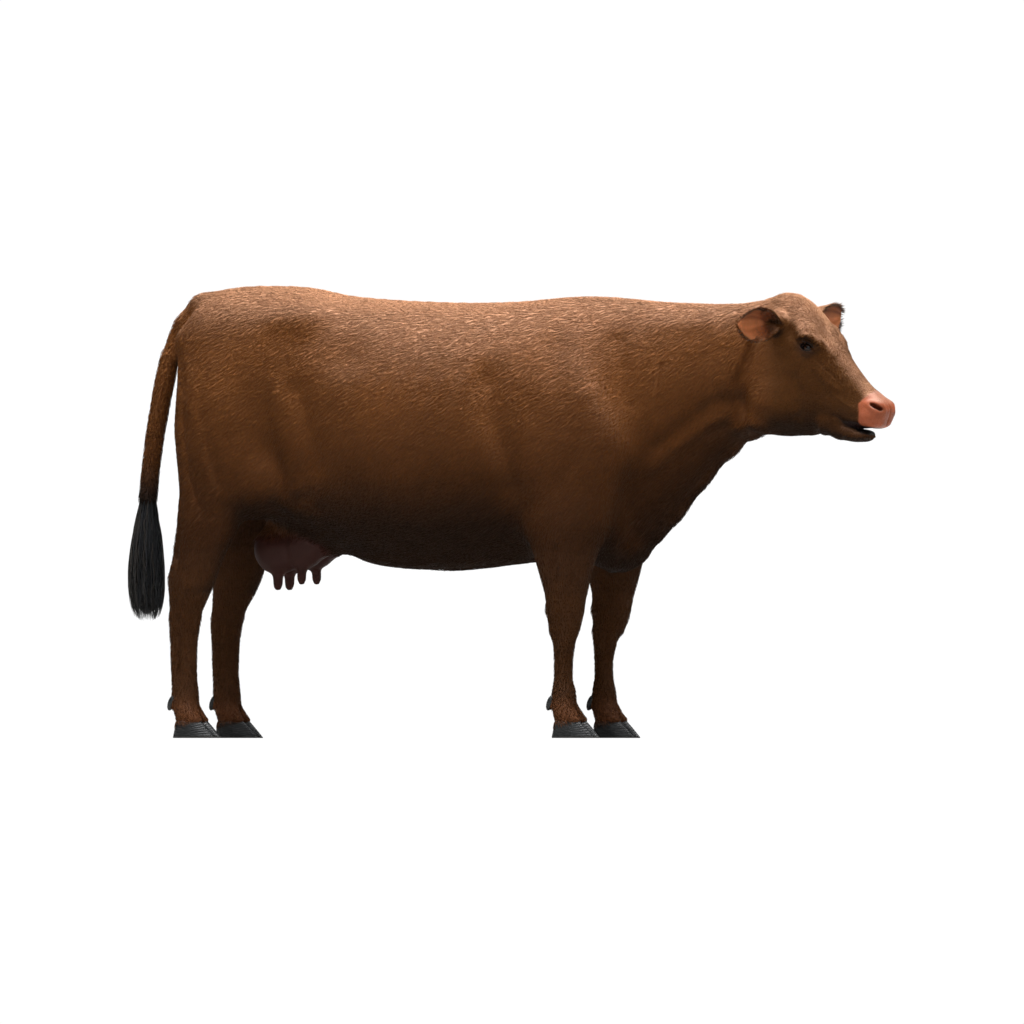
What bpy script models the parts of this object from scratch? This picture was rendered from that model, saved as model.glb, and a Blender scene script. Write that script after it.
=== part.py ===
"""A polled brown cow, life size, standing still: one solid for each part of the body.

Metres, +Z up. The cow faces +X, its left side is +Y, and it stands on z = 0.
Soft forms (sections lofted along the trunk, neck, head and legs, and a few ellipsoids for the
bony points) are fused, smoothed and reduced, then parted by flat cuts into the named parts.
"""

import math

import bmesh
import bpy
import numpy as np
from mathutils import Euler, Matrix, Vector

for old in list(bpy.data.objects):
    bpy.data.objects.remove(old, do_unlink=True)

# ---- Driving sizes, in metres ------------------------------------------------------------
GAP = 0.0003                 # between two parts that touch
HIP_TOP = 1.401              # highest point of the rump
WITHERS_TOP = 1.373          # top of the shoulders
BACK_TOP = 1.352             # lowest point of the back
BELLY_LOW = 0.521            # lowest point of the belly
BARREL_HALF = 0.350          # widest half of the barrel
FORE_X, FORE_Y = 0.240, 0.167        # fore cannon
HIND_X, HIND_Y = -1.024, 0.173       # hind cannon
KNEE_CUT = 0.342             # where a foreleg is parted, under the knee
HOCK_CUT = 0.385             # where a hind leg is parted, under the hock
SHIN_OVERLAP = 0.100         # how far the two forms of a leg pass each other at that cut
CORONET_Z = 0.052            # height of the hoof's upper edge under the leg's axis
CORONET_SLOPE = 0.26         # how fast that edge rises towards the toe
CLAW_LONG = 0.130            # one claw on the ground, heel to toe
CLAW_WIDE = 0.056
CLAW_SPREAD = 0.0295         # from the middle of the foot to the middle of a claw
EYE = Vector((1.029, 0.094, 1.208))
EYE_RADIUS = 0.0205
EAR_LONG = 0.205
EAR_WIDE = 0.118
SIDES = {"left": 1, "right": -1}

# ---- Colours and materials ---------------------------------------------------------------


def linear(hex_colour):
    """An sRGB hex colour as the linear RGBA that a shader takes."""
    parts = [int(hex_colour[i:i + 2], 16) / 255 for i in (1, 3, 5)]
    return [c / 12.92 if c <= 0.04045 else ((c + 0.055) / 1.055) ** 2.4 for c in parts] + [1]


def material(name, colour, roughness):
    made = bpy.data.materials.new(name)
    made.use_nodes = True
    shader = made.node_tree.nodes["Principled BSDF"]
    shader.inputs["Base Color"].default_value = linear(colour)
    shader.inputs["Roughness"].default_value = roughness
    shader.inputs["Metallic"].default_value = 0
    return made


COLOURS = {
    "coat": ("#7a4a26", 0.8),
    "nose": ("#b0705a", 0.45),
    "hoof": ("#2e2c2c", 0.5),
    "eye": ("#120d0b", 0.1),
    "switch": ("#1d2024", 0.7),
    "udder": ("#7a4638", 0.6),
}

# ---- Lofts -------------------------------------------------------------------------------


def between(stations, steps):
    """Smooth rows between the given ones: a Catmull-Rom curve through each column."""
    rows = np.array(stations, float)
    rows = np.vstack([2 * rows[0] - rows[1], rows, 2 * rows[-1] - rows[-2]])
    out = []
    for i in range(1, len(rows) - 2):
        a, b, c, d = rows[i - 1:i + 3]
        for t in np.arange(steps) / steps:
            out.append(
                0.5 * (2 * b + (c - a) * t + (2 * a - 5 * b + 4 * c - d) * t ** 2
                       + (3 * b - a - 3 * c + d) * t ** 3)
            )
    out.append(rows[-2])
    return np.array(out)


def rounded(angle, power):
    """Cosine and sine of an angle, squared off (power over 2) or peaked (under 2)."""
    c, s = math.cos(angle), math.sin(angle)
    return (math.copysign(abs(c) ** (2 / power), c), math.copysign(abs(s) ** (2 / power), s))


def skin_rings(name, rings):
    """A closed mesh over a row of rings that all have the same number of points."""
    shape = bmesh.new()
    rows = [[shape.verts.new(p) for p in ring] for ring in rings]
    count = len(rows[0])
    for low, high in zip(rows, rows[1:]):
        for i in range(count):
            j = (i + 1) % count
            shape.faces.new((low[i], low[j], high[j], high[i]))
    shape.faces.new(rows[0][::-1])
    shape.faces.new(rows[-1])
    bmesh.ops.recalc_face_normals(shape, faces=shape.faces)
    return finish(name, shape)


def finish(name, shape):
    mesh = bpy.data.meshes.new(name)
    shape.to_mesh(mesh)
    shape.free()
    made = bpy.data.objects.new(name, mesh)
    bpy.context.scene.collection.objects.link(made)
    return made


def body_form(name, stations, steps=4, sides=28):
    """A form of the body's middle: each station is a section between a top and a bottom point.

    A station is (top x, top z, bottom x, bottom z, half width, where the widest line lies from
    top to bottom, squareness above it, squareness below it).
    """
    rings = []
    for tx, tz, bx, bz, half, wide_at, above, below in between(stations, steps).tolist():
        top = Vector((tx, 0, tz))
        down = Vector((bx - tx, 0, bz - tz))
        ring = []
        for i in range(sides):
            angle = 2 * math.pi * i / sides
            upper = math.cos(angle) >= 0
            c, s = rounded(angle, above if upper else below)
            along = wide_at - c * (wide_at if upper else 1 - wide_at)
            ring.append(top + down * along + Vector((0, half * s, 0)))
        rings.append(ring)
    return skin_rings(name, rings)


def limb_form(name, stations, side, steps=3, sides=20):
    """A form of a leg: each station is (height, x, y, half length, half width, squareness)."""
    rings = []
    for z, x, y, long, wide, power in between(stations, steps).tolist():
        ring = []
        for i in range(sides):
            c, s = rounded(2 * math.pi * i / sides, power)
            ring.append(Vector((x + long * c, side * (y + wide * s), z)))
        rings.append(ring)
    return skin_rings(name, rings)


def lump(name, centre, radii, side=1, turn=(0, 0, 0), rings=10):
    """An ellipsoid, mirrored to the given side."""
    shape = bmesh.new()
    bmesh.ops.create_uvsphere(shape, u_segments=rings * 2, v_segments=rings, radius=1)
    place = Matrix.Translation(centre) @ Euler([math.radians(t) for t in turn]).to_matrix().to_4x4()
    place = Matrix.Diagonal((1, side, 1, 1)) @ place @ Matrix.Diagonal((*radii, 1))
    bmesh.ops.transform(shape, matrix=place, verts=shape.verts)
    bmesh.ops.recalc_face_normals(shape, faces=shape.faces)
    return finish(name, shape)


def tube_form(name, points, sides=10):
    """A round form along a path in the middle plane: each point is (x, z, radius)."""
    rows = np.array(points)
    rings = []
    for i, (x, z, radius) in enumerate(rows):
        ahead = rows[min(i + 1, len(rows) - 1)] - rows[max(i - 1, 0)]
        across = Vector((-ahead[1], 0, ahead[0])).normalized()
        ring = []
        for k in range(sides):
            angle = 2 * math.pi * k / sides
            offset = across * radius * math.cos(angle)
            ring.append(Vector((x, radius * math.sin(angle), z)) + offset)
        rings.append(ring)
    return skin_rings(name, rings)


# ---- Fusing, reducing and cutting --------------------------------------------------------


def settled(source):
    """The object with its modifiers applied."""
    graph = bpy.context.evaluated_depsgraph_get()
    mesh = bpy.data.meshes.new_from_object(source.evaluated_get(graph))
    source.modifiers.clear()
    source.data = mesh
    return source


def fused(name, forms, voxel, smoothing, triangles):
    """The forms as one closed skin of about so many triangles."""
    whole = bmesh.new()
    for form in forms:
        whole.from_mesh(form.data)
        bpy.data.objects.remove(form)
    body = finish(name, whole)
    remesh = body.modifiers.new("fuse", "REMESH")
    remesh.mode = "VOXEL"
    remesh.voxel_size = voxel
    smooth = body.modifiers.new("smooth", "SMOOTH")
    smooth.iterations = smoothing
    smooth.factor = 0.5
    settled(body)
    reduce = body.modifiers.new("reduce", "DECIMATE")
    reduce.ratio = triangles / (2 * len(body.data.polygons))
    reduce.use_collapse_triangulate = True
    return settled(body)


def block(centre, size, turn=0.0, ahead=None):
    """A box that only cuts: turned about Y by so many degrees, or with its X axis along ahead."""
    shape = bmesh.new()
    bmesh.ops.create_cube(shape, size=1)
    turned = Matrix.Rotation(math.radians(turn), 4, "Y")
    if ahead is not None:
        turned = ahead.to_track_quat("X", "Z").to_matrix().to_4x4()
    place = Matrix.Translation(centre) @ turned
    bmesh.ops.transform(shape, matrix=place @ Matrix.Diagonal((*size, 1)), verts=shape.verts)
    made = finish("block", shape)
    made.hide_render = True
    made.display_type = "WIRE"
    return made


def cut(body, cutter, operation):
    modifier = body.modifiers.new("cut", "BOOLEAN")
    modifier.object = cutter
    modifier.operation = operation
    modifier.solver = "EXACT"
    settled(body)
    bpy.data.objects.remove(cutter)
    return body


def copy_of(body, name):
    made = bpy.data.objects.new(name, body.data.copy())
    bpy.context.scene.collection.objects.link(made)
    return made


def half_space(top, bottom, shift, forward):
    """A big block whose one face is the plane through two points of the middle plane and Y.

    It lies before the plane (forward) or behind it, moved ahead along X by shift.
    """
    down = Vector((bottom[0] - top[0], 0, bottom[1] - top[1]))
    turn = math.degrees(math.atan2(-down.x, -down.z))
    middle = Vector(((top[0] + bottom[0]) / 2 + shift, 0, (top[1] + bottom[1]) / 2))
    ahead = Vector((math.cos(math.radians(turn)), 0, -math.sin(math.radians(turn))))
    centre = middle + ahead * (2 if forward else -2)
    return block(centre, (4, 4, 6), turn)


def beyond(point, direction, reach, shift=0.0):
    """A block whose face passes through the point, across the direction, and that lies past it."""
    ahead = Vector(direction).normalized()
    return block(Vector(point) + ahead * (reach / 2 + shift), (reach, reach, reach), ahead=ahead)


def largest(body):
    """Drops the small loose pieces that a cut leaves."""
    shape = bmesh.new()
    shape.from_mesh(body.data)
    left = set(shape.verts)
    islands = []
    while left:
        front = [left.pop()]
        island = list(front)
        while front:
            here = front.pop()
            near = {edge.other_vert(here) for edge in here.link_edges} & left
            left -= near
            front += near
            island += near
        islands.append(island)
    islands.sort(key=len)
    bmesh.ops.delete(shape, geom=[v for island in islands[:-1] for v in island], context="VERTS")
    shape.to_mesh(body.data)
    shape.free()
    return body


def part_off(body, name, low, high, turn=0.0):
    """The piece of the body inside a box, as a new object, and the body without that box."""
    centre = (Vector(low) + Vector(high)) / 2
    size = Vector(high) - Vector(low)
    part = cut(copy_of(body, name), block(centre, size, turn), "INTERSECT")
    more = Vector((2 * GAP, 2 * GAP, 2 * GAP))
    cut(body, block(centre, size + more, turn), "DIFFERENCE")
    return part


def dress(made, name, finish_name):
    made.name = name
    made.data.materials.clear()
    made.data.materials.append(MATERIALS[finish_name])
    return made


MATERIALS = {name: material(name, *look) for name, look in COLOURS.items()}

# ---- Trunk, neck and upper legs ----------------------------------------------------------
# (top x, top z, bottom x, bottom z, half width, widest at, squareness above, below)
TRUNK = [
    (-1.084, 1.230, -1.084, 1.000, 0.080, 0.45, 2.0, 2.0),
    (-1.058, 1.318, -1.058, 0.900, 0.152, 0.40, 2.0, 2.0),
    (-1.000, 1.383, -1.000, 0.820, 0.197, 0.40, 2.0, 2.0),
    (-0.900, 1.399, -0.900, 0.740, 0.235, 0.40, 2.1, 2.0),
    (-0.780, HIP_TOP, -0.780, 0.660, 0.255, 0.40, 2.2, 2.0),
    (-0.660, 1.396, -0.660, 0.590, 0.275, 0.45, 2.4, 2.0),
    (-0.540, 1.373, -0.540, 0.552, 0.310, 0.53, 2.4, 2.0),
    (-0.400, 1.361, -0.400, 0.526, 0.342, 0.55, 2.3, 2.1),
    (-0.240, 1.354, -0.240, BELLY_LOW, BARREL_HALF, 0.55, 2.2, 2.2),
    (-0.080, BACK_TOP, -0.080, 0.526, 0.340, 0.54, 2.1, 2.2),
    (0.060, 1.358, 0.060, 0.540, 0.305, 0.52, 2.0, 2.2),
    (0.180, 1.370, 0.180, 0.545, 0.260, 0.50, 1.8, 2.2),
    (0.300, WITHERS_TOP, 0.300, 0.530, 0.225, 0.48, 1.7, 2.1),
    (0.380, 1.369, 0.400, 0.520, 0.195, 0.48, 1.8, 2.0),
    (0.430, 1.340, 0.460, 0.600, 0.140, 0.48, 2.0, 2.0),
]
NECK = [
    (0.260, 1.360, 0.360, 0.520, 0.180, 0.50, 1.9, 1.9),
    (0.400, 1.366, 0.470, 0.584, 0.182, 0.46, 2.0, 1.6),
    (0.500, 1.358, 0.583, 0.700, 0.160, 0.44, 2.0, 1.5),
    (0.600, 1.355, 0.676, 0.804, 0.133, 0.43, 2.0, 1.5),
    (0.700, 1.354, 0.760, 0.884, 0.120, 0.43, 2.0, 1.6),
    (0.790, 1.356, 0.824, 0.932, 0.110, 0.44, 2.1, 1.8),
    (0.880, 1.366, 0.880, 0.950, 0.100, 0.45, 2.2, 2.0),
    (0.930, 1.345, 0.930, 0.970, 0.085, 0.45, 2.2, 2.0),
]
# (height, x, y, half length, half width, squareness)
FORE_LEG = [
    (1.300, 0.215, 0.060, 0.060, 0.035, 2.0),
    (1.200, 0.225, 0.115, 0.110, 0.075, 2.0),
    (1.060, 0.250, 0.160, 0.150, 0.092, 2.1),
    (0.940, 0.285, 0.172, 0.166, 0.094, 2.2),
    (0.840, 0.285, 0.175, 0.168, 0.090, 2.2),
    (0.750, 0.275, 0.182, 0.150, 0.085, 2.2),
    (0.660, 0.266, 0.190, 0.140, 0.080, 2.2),
    (0.580, 0.258, 0.193, 0.117, 0.068, 2.1),
    (0.510, 0.257, 0.198, 0.092, 0.057, 2.1),
    (0.445, 0.256, 0.196, 0.070, 0.051, 2.3),
    (0.400, 0.254, 0.192, 0.062, 0.050, 2.4),
    (0.360, 0.251, 0.184, 0.057, 0.047, 2.3),
    (0.310, 0.243, 0.170, 0.042, 0.037, 2.2),
    (0.250, FORE_X, FORE_Y, 0.035, 0.029, 2.1),
    (0.185, FORE_X - 0.001, FORE_Y, 0.034, 0.029, 2.1),
    (0.145, FORE_X + 0.001, FORE_Y, 0.040, 0.035, 2.2),
    (0.118, FORE_X + 0.002, FORE_Y, 0.041, 0.038, 2.2),
    (0.095, FORE_X + 0.008, FORE_Y, 0.036, 0.037, 2.2),
    (0.060, FORE_X + 0.024, FORE_Y, 0.036, 0.036, 2.2),
]
HIND_LEG = [
    (1.280, -0.800, 0.105, 0.140, 0.060, 2.0),
    (1.180, -0.840, 0.138, 0.205, 0.092, 2.1),
    (1.060, -0.858, 0.150, 0.204, 0.106, 2.3),
    (0.950, -0.874, 0.155, 0.190, 0.107, 2.3),
    (0.850, -0.890, 0.160, 0.165, 0.100, 2.2),
    (0.760, -0.912, 0.166, 0.136, 0.086, 2.1),
    (0.680, -0.937, 0.176, 0.116, 0.070, 2.1),
    (0.610, -0.956, 0.186, 0.104, 0.060, 2.0),
    (0.550, -0.977, 0.188, 0.093, 0.051, 2.0),
    (0.495, -0.993, 0.187, 0.086, 0.047, 2.0),
    (0.450, -1.006, 0.184, 0.072, 0.045, 2.1),
    (0.405, -1.016, 0.180, 0.059, 0.043, 2.2),
    (0.350, -1.023, 0.175, 0.050, 0.038, 2.2),
    (0.290, HIND_X, HIND_Y, 0.044, 0.032, 2.1),
    (0.200, HIND_X, HIND_Y, 0.043, 0.031, 2.1),
    (0.150, HIND_X + 0.002, HIND_Y, 0.044, 0.035, 2.2),
    (0.120, HIND_X + 0.003, HIND_Y, 0.045, 0.038, 2.2),
    (0.095, HIND_X + 0.010, HIND_Y, 0.040, 0.037, 2.2),
    (0.060, HIND_X + 0.026, HIND_Y, 0.037, 0.036, 2.2),
]
# bony points and muscles: (centre, radii, turn in degrees)
MUSCLES = [
    ((-0.640, 0.155, 1.262), (0.180, 0.088, 0.095), (0, 0, 0)),       # hook bone
    ((-1.036, 0.095, 1.225), (0.055, 0.050, 0.060), (0, 0, 0)),       # pin bone
    ((-0.775, 0.165, 0.790), (0.115, 0.088, 0.125), (0, 35, 0)),      # stifle
    ((-0.590, 0.190, 0.770), (0.170, 0.070, 0.110), (0, 25, 0)),      # flank fold
    ((0.365, 0.138, 0.905), (0.098, 0.080, 0.130), (0, 10, 0)),       # point of the shoulder
    ((0.160, 0.200, 0.820), (0.095, 0.070, 0.140), (0, 20, 0)),       # triceps and elbow
    ((-0.672, 0.050, 0.602), (0.098, 0.058, 0.086), (0, -14, 0)),      # fore quarter of the udder
    ((-0.765, 0.044, 0.590), (0.088, 0.057, 0.088), (0, -6, 0)),       # hind quarter of the udder
]
MIDDLE = [
    ((0.375, 0.000, 0.600), (0.110, 0.105, 0.085), (0, -35, 0)),      # brisket
    ((-1.000, 0.000, 1.325), (0.085, 0.070, 0.058), (0, 20, 0)),      # tail head
]
# the tail's path and thickness: (x, z, radius)
TAIL = [
    (-0.990, 1.345, 0.040),
    (-1.050, 1.324, 0.037),
    (-1.100, 1.280, 0.036),
    (-1.122, 1.230, 0.034),
    (-1.145, 1.160, 0.033),
    (-1.168, 1.070, 0.032),
    (-1.193, 0.940, 0.031),
    (-1.208, 0.830, 0.030),
    (-1.217, 0.740, 0.031),
    (-1.219, 0.690, 0.034),
]
SWITCH = [
    (-1.217, 0.750, 0.031),
    (-1.220, 0.660, 0.042),
    (-1.221, 0.590, 0.052),
    (-1.221, 0.530, 0.059),
    (-1.219, 0.470, 0.060),
    (-1.217, 0.410, 0.058),
    (-1.216, 0.380, 0.050),
    (-1.215, 0.363, 0.034),
]
TAIL_ROOT = (-1.134, 1.196)      # where the tail is parted from the trunk, and which way it points
TAIL_WAY = Vector((-0.31, 0, -0.95))
TAIL_MIDDLE = (-1.177, 1.030)    # where it is parted into two lengths
TAIL_MIDDLE_WAY = Vector((-0.21, 0, -0.98))
SWITCH_TOP = (-1.2175, 0.728)    # where the hair of the switch begins
SWITCH_WAY = Vector((-0.03, 0, -1))

# teats of one side: (x, y, height of the tip, radius)
TEATS = {"fore": (-0.678, 0.062, 0.474, 0.0125), "hind": (-0.763, 0.048, 0.457, 0.0135)}
TEAT_TOP = 0.545


def at_plane(point, way, reach, shift=0.0):
    return beyond((point[0], 0, point[1]), way, reach, shift)


def teat(name, x, y, tip, radius, side, grow=0.0):
    """A blunt cone that hangs from the udder, its upper end seated in it."""
    stations = [
        (TEAT_TOP + grow, x, y, radius * 1.15 + grow, radius * 1.15 + grow, 2.0),
        (0.60 * TEAT_TOP + 0.40 * tip, x, y, radius * 1.10 + grow, radius * 1.10 + grow, 2.0),
        (0.20 * TEAT_TOP + 0.80 * tip, x, y, radius + grow, radius + grow, 2.0),
        (tip + 0.004, x, y, radius * 0.75 + grow, radius * 0.75 + grow, 2.0),
        (tip - grow, x, y, radius * 0.40 + grow, radius * 0.40 + grow, 2.0),
    ]
    return limb_form(name, stations, side, steps=1, sides=10)


def whole_body():
    forms = [body_form("trunk form", TRUNK), body_form("neck form", NECK)]
    for side in SIDES.values():
        for stations, top in ((FORE_LEG, KNEE_CUT), (HIND_LEG, HOCK_CUT)):
            upper_stations = [station for station in stations if station[0] > top - SHIN_OVERLAP]
            forms.append(limb_form("leg form", upper_stations, side))
        forms += [lump("muscle", c, r, side, t) for c, r, t in MUSCLES]
    forms += [lump("muscle", c, r, 1, t) for c, r, t in MIDDLE]
    forms.append(tube_form("tail root", TAIL[:5]))
    return fused("body", forms, voxel=0.014, smoothing=14, triangles=2200)


# ---- Head --------------------------------------------------------------------------------
HEAD = [
    (0.800, 1.350, 0.815, 0.945, 0.095, 0.45, 2.1, 2.0),
    (0.870, 1.370, 0.850, 0.940, 0.100, 0.45, 2.2, 2.1),
    (0.930, 1.378, 0.890, 0.936, 0.104, 0.42, 2.3, 2.2),
    (0.985, 1.358, 0.935, 0.936, 0.108, 0.36, 2.6, 2.1),
    (1.030, 1.306, 0.980, 0.938, 0.108, 0.24, 3.2, 2.0),
    (1.072, 1.247, 1.025, 0.942, 0.104, 0.19, 3.2, 2.0),
    (1.116, 1.192, 1.070, 0.950, 0.080, 0.28, 2.8, 2.3),
    (1.157, 1.141, 1.110, 0.960, 0.066, 0.38, 2.6, 2.6),
    (1.199, 1.094, 1.150, 0.966, 0.058, 0.45, 2.6, 2.4),
    (1.237, 1.061, 1.195, 0.962, 0.064, 0.48, 2.8, 2.6),
    (1.262, 1.032, 1.232, 0.960, 0.062, 0.48, 2.8, 2.6),
    (1.271, 1.012, 1.252, 0.970, 0.042, 0.48, 2.4, 2.4),
]
LOWER_JAW = [
    (1.000, 1.010, 1.000, 0.936, 0.072, 0.40, 2.8, 2.1),
    (1.060, 1.002, 1.060, 0.934, 0.062, 0.40, 2.8, 2.1),
    (1.110, 0.984, 1.110, 0.922, 0.053, 0.45, 2.6, 2.2),
    (1.160, 0.960, 1.158, 0.915, 0.047, 0.50, 2.4, 2.2),
    (1.198, 0.951, 1.190, 0.919, 0.044, 0.45, 2.4, 2.2),
    (1.211, 0.944, 1.206, 0.930, 0.030, 0.45, 2.2, 2.2),
]
HEAD_LUMPS = [
    ((1.022, 0.082, 1.240), (0.052, 0.036, 0.030), (0, 50, 0)),      # brow over the eye
    ((1.030, 0.072, 1.206), (0.050, 0.035, 0.040), (0, 45, 0)),      # rim of the eye socket
    ((1.050, 0.078, 1.165), (0.062, 0.024, 0.024), (0, 45, 0)),      # cheek bone under the eye
    ((0.910, 0.050, 1.070), (0.110, 0.056, 0.125), (0, 20, 0)),      # cheek muscle
    ((0.868, 0.052, 0.992), (0.072, 0.040, 0.054), (0, 0, 0)),       # angle of the jaw
    ((1.236, 0.040, 1.026), (0.028, 0.027, 0.028), (0, 45, 0)),      # wing of the nostril
    ((0.925, 0.086, 1.284), (0.042, 0.044, 0.042), (0, 0, 0)),       # root of the ear
]
# each ear: its axis from root to tip, and the way its opening faces
EARS = {
    "left": (Vector((0.30, 0.93, 0.12)), Vector((0.80, -0.20, -0.20))),
    "right": (Vector((-0.28, -0.96, 0.00)), Vector((0.80, -0.40, -0.20))),
}
EAR_ROOT = Vector((0.925, 0.088, 1.286))
EAR_STEM = 0.034             # from the ear's root to where it is parted from the head


def ear_root(side):
    return Vector((EAR_ROOT.x, SIDES[side] * EAR_ROOT.y, EAR_ROOT.z))


def head_forms():
    forms = [body_form("head form", HEAD, sides=32)]
    for side in SIDES:
        forms += [lump("head lump", c, r, SIDES[side], t) for c, r, t in HEAD_LUMPS]
    forms.append(lump("poll", (0.935, 0, 1.340), (0.064, 0.070, 0.044), 1, (0, 15, 0)))
    return forms


# (along the ear, half width as a share of the widest, half angle of the cup in degrees,
# wall as a share of the cup's radius, depth behind the ear's axis)
EAR_SECTIONS = [
    (0.15, 0.62, 165, 0.92, 0.034),
    (0.26, 0.70, 130, 0.60, 0.031),
    (0.40, 0.88, 95, 0.22, 0.025),
    (0.56, 1.00, 72, 0.14, 0.017),
    (0.74, 0.93, 62, 0.13, 0.010),
    (0.90, 0.62, 55, 0.20, 0.006),
    (1.00, 0.20, 45, 0.50, 0.003),
]


def ear(side):
    """A cupped leaf: solid and round at its root, open and flatter towards the tip."""
    axis, facing = (v.normalized() for v in EARS[side])
    facing = (facing - axis * facing.dot(axis)).normalized()
    across = axis.cross(facing)
    rings = []
    for along, share, angle, wall, back in EAR_SECTIONS:
        half = share * EAR_WIDE / 2
        radius = half / math.sin(math.radians(min(angle, 90)))
        middle = ear_root(side) + axis * along * EAR_LONG + facing * (radius - back)
        ring = []
        for reach, way in ((radius, 1), (radius * (1 - wall), -1)):
            for k in range(-3, 4):
                turn = math.radians(angle) * way * k / 3
                ring.append(middle + reach * (across * math.sin(turn) - facing * math.cos(turn)))
        rings.append(ring)
    return skin_rings("ear_" + side, rings)


def eyeball(name, side, grow=0.0):
    return lump(name, EYE, [EYE_RADIUS + grow] * 3, side, rings=7)


# ---- Feet --------------------------------------------------------------------------------
# one toe of the pastern: (height, ahead of the cannon, off the foot's middle, half sizes, ..)
TOE = [
    (0.150, 0.000, 0.014, 0.030, 0.020, 2.0),
    (0.115, 0.002, 0.020, 0.034, 0.024, 2.0),
    (0.085, 0.010, 0.025, 0.038, 0.027, 2.0),
    (0.055, 0.025, 0.028, 0.044, 0.029, 2.1),
    (0.020, 0.038, 0.029, 0.048, 0.030, 2.1),
]
CLAW_AHEAD = 0.042           # the claws' middle on the ground, ahead of the cannon
CORONET_AHEAD = 0.027        # the middle of the coronet, ahead of the cannon
CLAW_SIDES = 12


def coronet_height(x, leg_x):
    return CORONET_Z + CORONET_SLOPE * (x - leg_x - CORONET_AHEAD)


def claw(name, leg_x, leg_y, side, outward):
    """One claw, from its flat sole on the ground up to the sloping coronet."""
    rings = []
    for share in (0.0, 0.06, 0.50, 1.0):
        long = CLAW_LONG / 2 * (1 - 0.25 * share) - (0.004 if share == 0 else 0)
        wide = CLAW_WIDE / 2 * (1 - 0.10 * share) - (0.003 if share == 0 else 0)
        middle = leg_x + CLAW_AHEAD + (CORONET_AHEAD - CLAW_AHEAD) * share
        ring = []
        for i in range(CLAW_SIDES):
            c, s = rounded(2 * math.pi * i / CLAW_SIDES, 2.3)
            toe = max(0, c) ** 2
            x = middle + long * c
            y = leg_y + outward * (CLAW_SPREAD - 0.007 * toe * (1 - share)) + wide * s * (1 - 0.35 * toe)
            ring.append(Vector((x, side * y, share * (coronet_height(x, leg_x) - GAP))))
        rings.append(ring)
    return skin_rings(name, rings)


def dewclaw(name, leg_x, leg_y, side, outward, grow=0.0):
    centre = (leg_x - 0.036, leg_y + outward * 0.020, 0.106)
    radii = (0.0125 + grow, 0.0135 + grow, 0.025 + grow)
    return lump(name, centre, radii, side, (0, 22, 0), rings=4)


def lower_leg(name, stations, leg_x, leg_y, side, top):
    """Cannon, fetlock and the two toes of the pastern, from the leg's cut to the coronet."""
    forms = [limb_form("cannon", stations, side)]
    for outward in (1, -1):
        toe = [(z, leg_x + x, leg_y + outward * y, a, b, p) for z, x, y, a, b, p in TOE]
        forms.append(limb_form("toe", toe, side, sides=16))
    leg = fused(name, forms, voxel=0.0065, smoothing=3, triangles=220)
    cut(leg, beyond((leg_x, side * leg_y, top - GAP), (0, 0, 1), 1), "DIFFERENCE")
    down = Vector((CORONET_SLOPE, 0, -1))
    cut(leg, beyond((leg_x + CORONET_AHEAD, side * leg_y, CORONET_Z), down, 1), "DIFFERENCE")
    for outward in (1, -1):
        cut(leg, dewclaw("seat", leg_x, leg_y, side, outward, GAP), "DIFFERENCE")
    return leg


# ---- Building ----------------------------------------------------------------------------
NECK_FRONT = ((0.868, 1.40), (0.775, 0.90))
NECK_BACK = ((0.395, 1.38), (0.590, 0.70))
NOSE_BACK = ((1.222, 1.085), (1.176, 0.955))
MOUTH_BACK = Vector((1.060, 0, 0.990))
MOUTH_TILT = 10.0            # degrees that the mouth's line falls towards the front


def under_mouth(grow=0.0):
    """The space of the lower jaw: under the mouth's line and before the angle of the jaw."""
    turn = Matrix.Rotation(math.radians(MOUTH_TILT), 3, "Y")
    long, wide, tall = 0.40, 0.40, 0.20
    centre = MOUTH_BACK + turn @ Vector((long / 2, 0, -tall / 2))
    return block(centre, (long + 2 * grow, wide, tall + 2 * grow), MOUTH_TILT)


body = whole_body()
udder = part_off(body, "udder", (-0.880, -0.112, 0.300), (-0.540, 0.112, 0.646), 14)
upper = {}
for side, sign in SIDES.items():
    inner, outer = sorted((sign * 0.100, sign * 0.400))
    upper["foreleg_" + side + "_upper"] = part_off(
        body, "foreleg", (0.128, inner, KNEE_CUT), (0.430, outer, 0.660)
    )
    inner, outer = sorted((sign * 0.112, sign * 0.400))
    upper["hindleg_" + side + "_upper"] = part_off(
        body, "hindleg", (-1.200, inner, HOCK_CUT), (-0.705, outer, 0.860)
    )
cut(body, block((-0.3, 0, 0.17), (3, 1, 0.45)), "DIFFERENCE")
cut(body, at_plane(TAIL_ROOT, TAIL_WAY, 0.08), "DIFFERENCE")

tail_upper = cut(tube_form("tail_upper", TAIL), at_plane(TAIL_ROOT, TAIL_WAY, 3, GAP), "INTERSECT")
tail_lower = cut(
    copy_of(tail_upper, "tail_lower"), at_plane(TAIL_MIDDLE, TAIL_MIDDLE_WAY, 3, GAP), "INTERSECT"
)
cut(tail_upper, at_plane(TAIL_MIDDLE, TAIL_MIDDLE_WAY, 3), "DIFFERENCE")
cut(tail_lower, at_plane(SWITCH_TOP, SWITCH_WAY, 3), "DIFFERENCE")
switch = cut(tube_form("tail_switch", SWITCH), at_plane(SWITCH_TOP, SWITCH_WAY, 3, GAP), "INTERSECT")

neck = cut(copy_of(body, "neck"), half_space(*NECK_FRONT, 0, False), "INTERSECT")
cut(neck, half_space(*NECK_BACK, GAP, True), "INTERSECT")
trunk = largest(cut(body, half_space(*NECK_BACK, 0, False), "INTERSECT"))
largest(udder)
for part in upper.values():
    largest(part)

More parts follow.
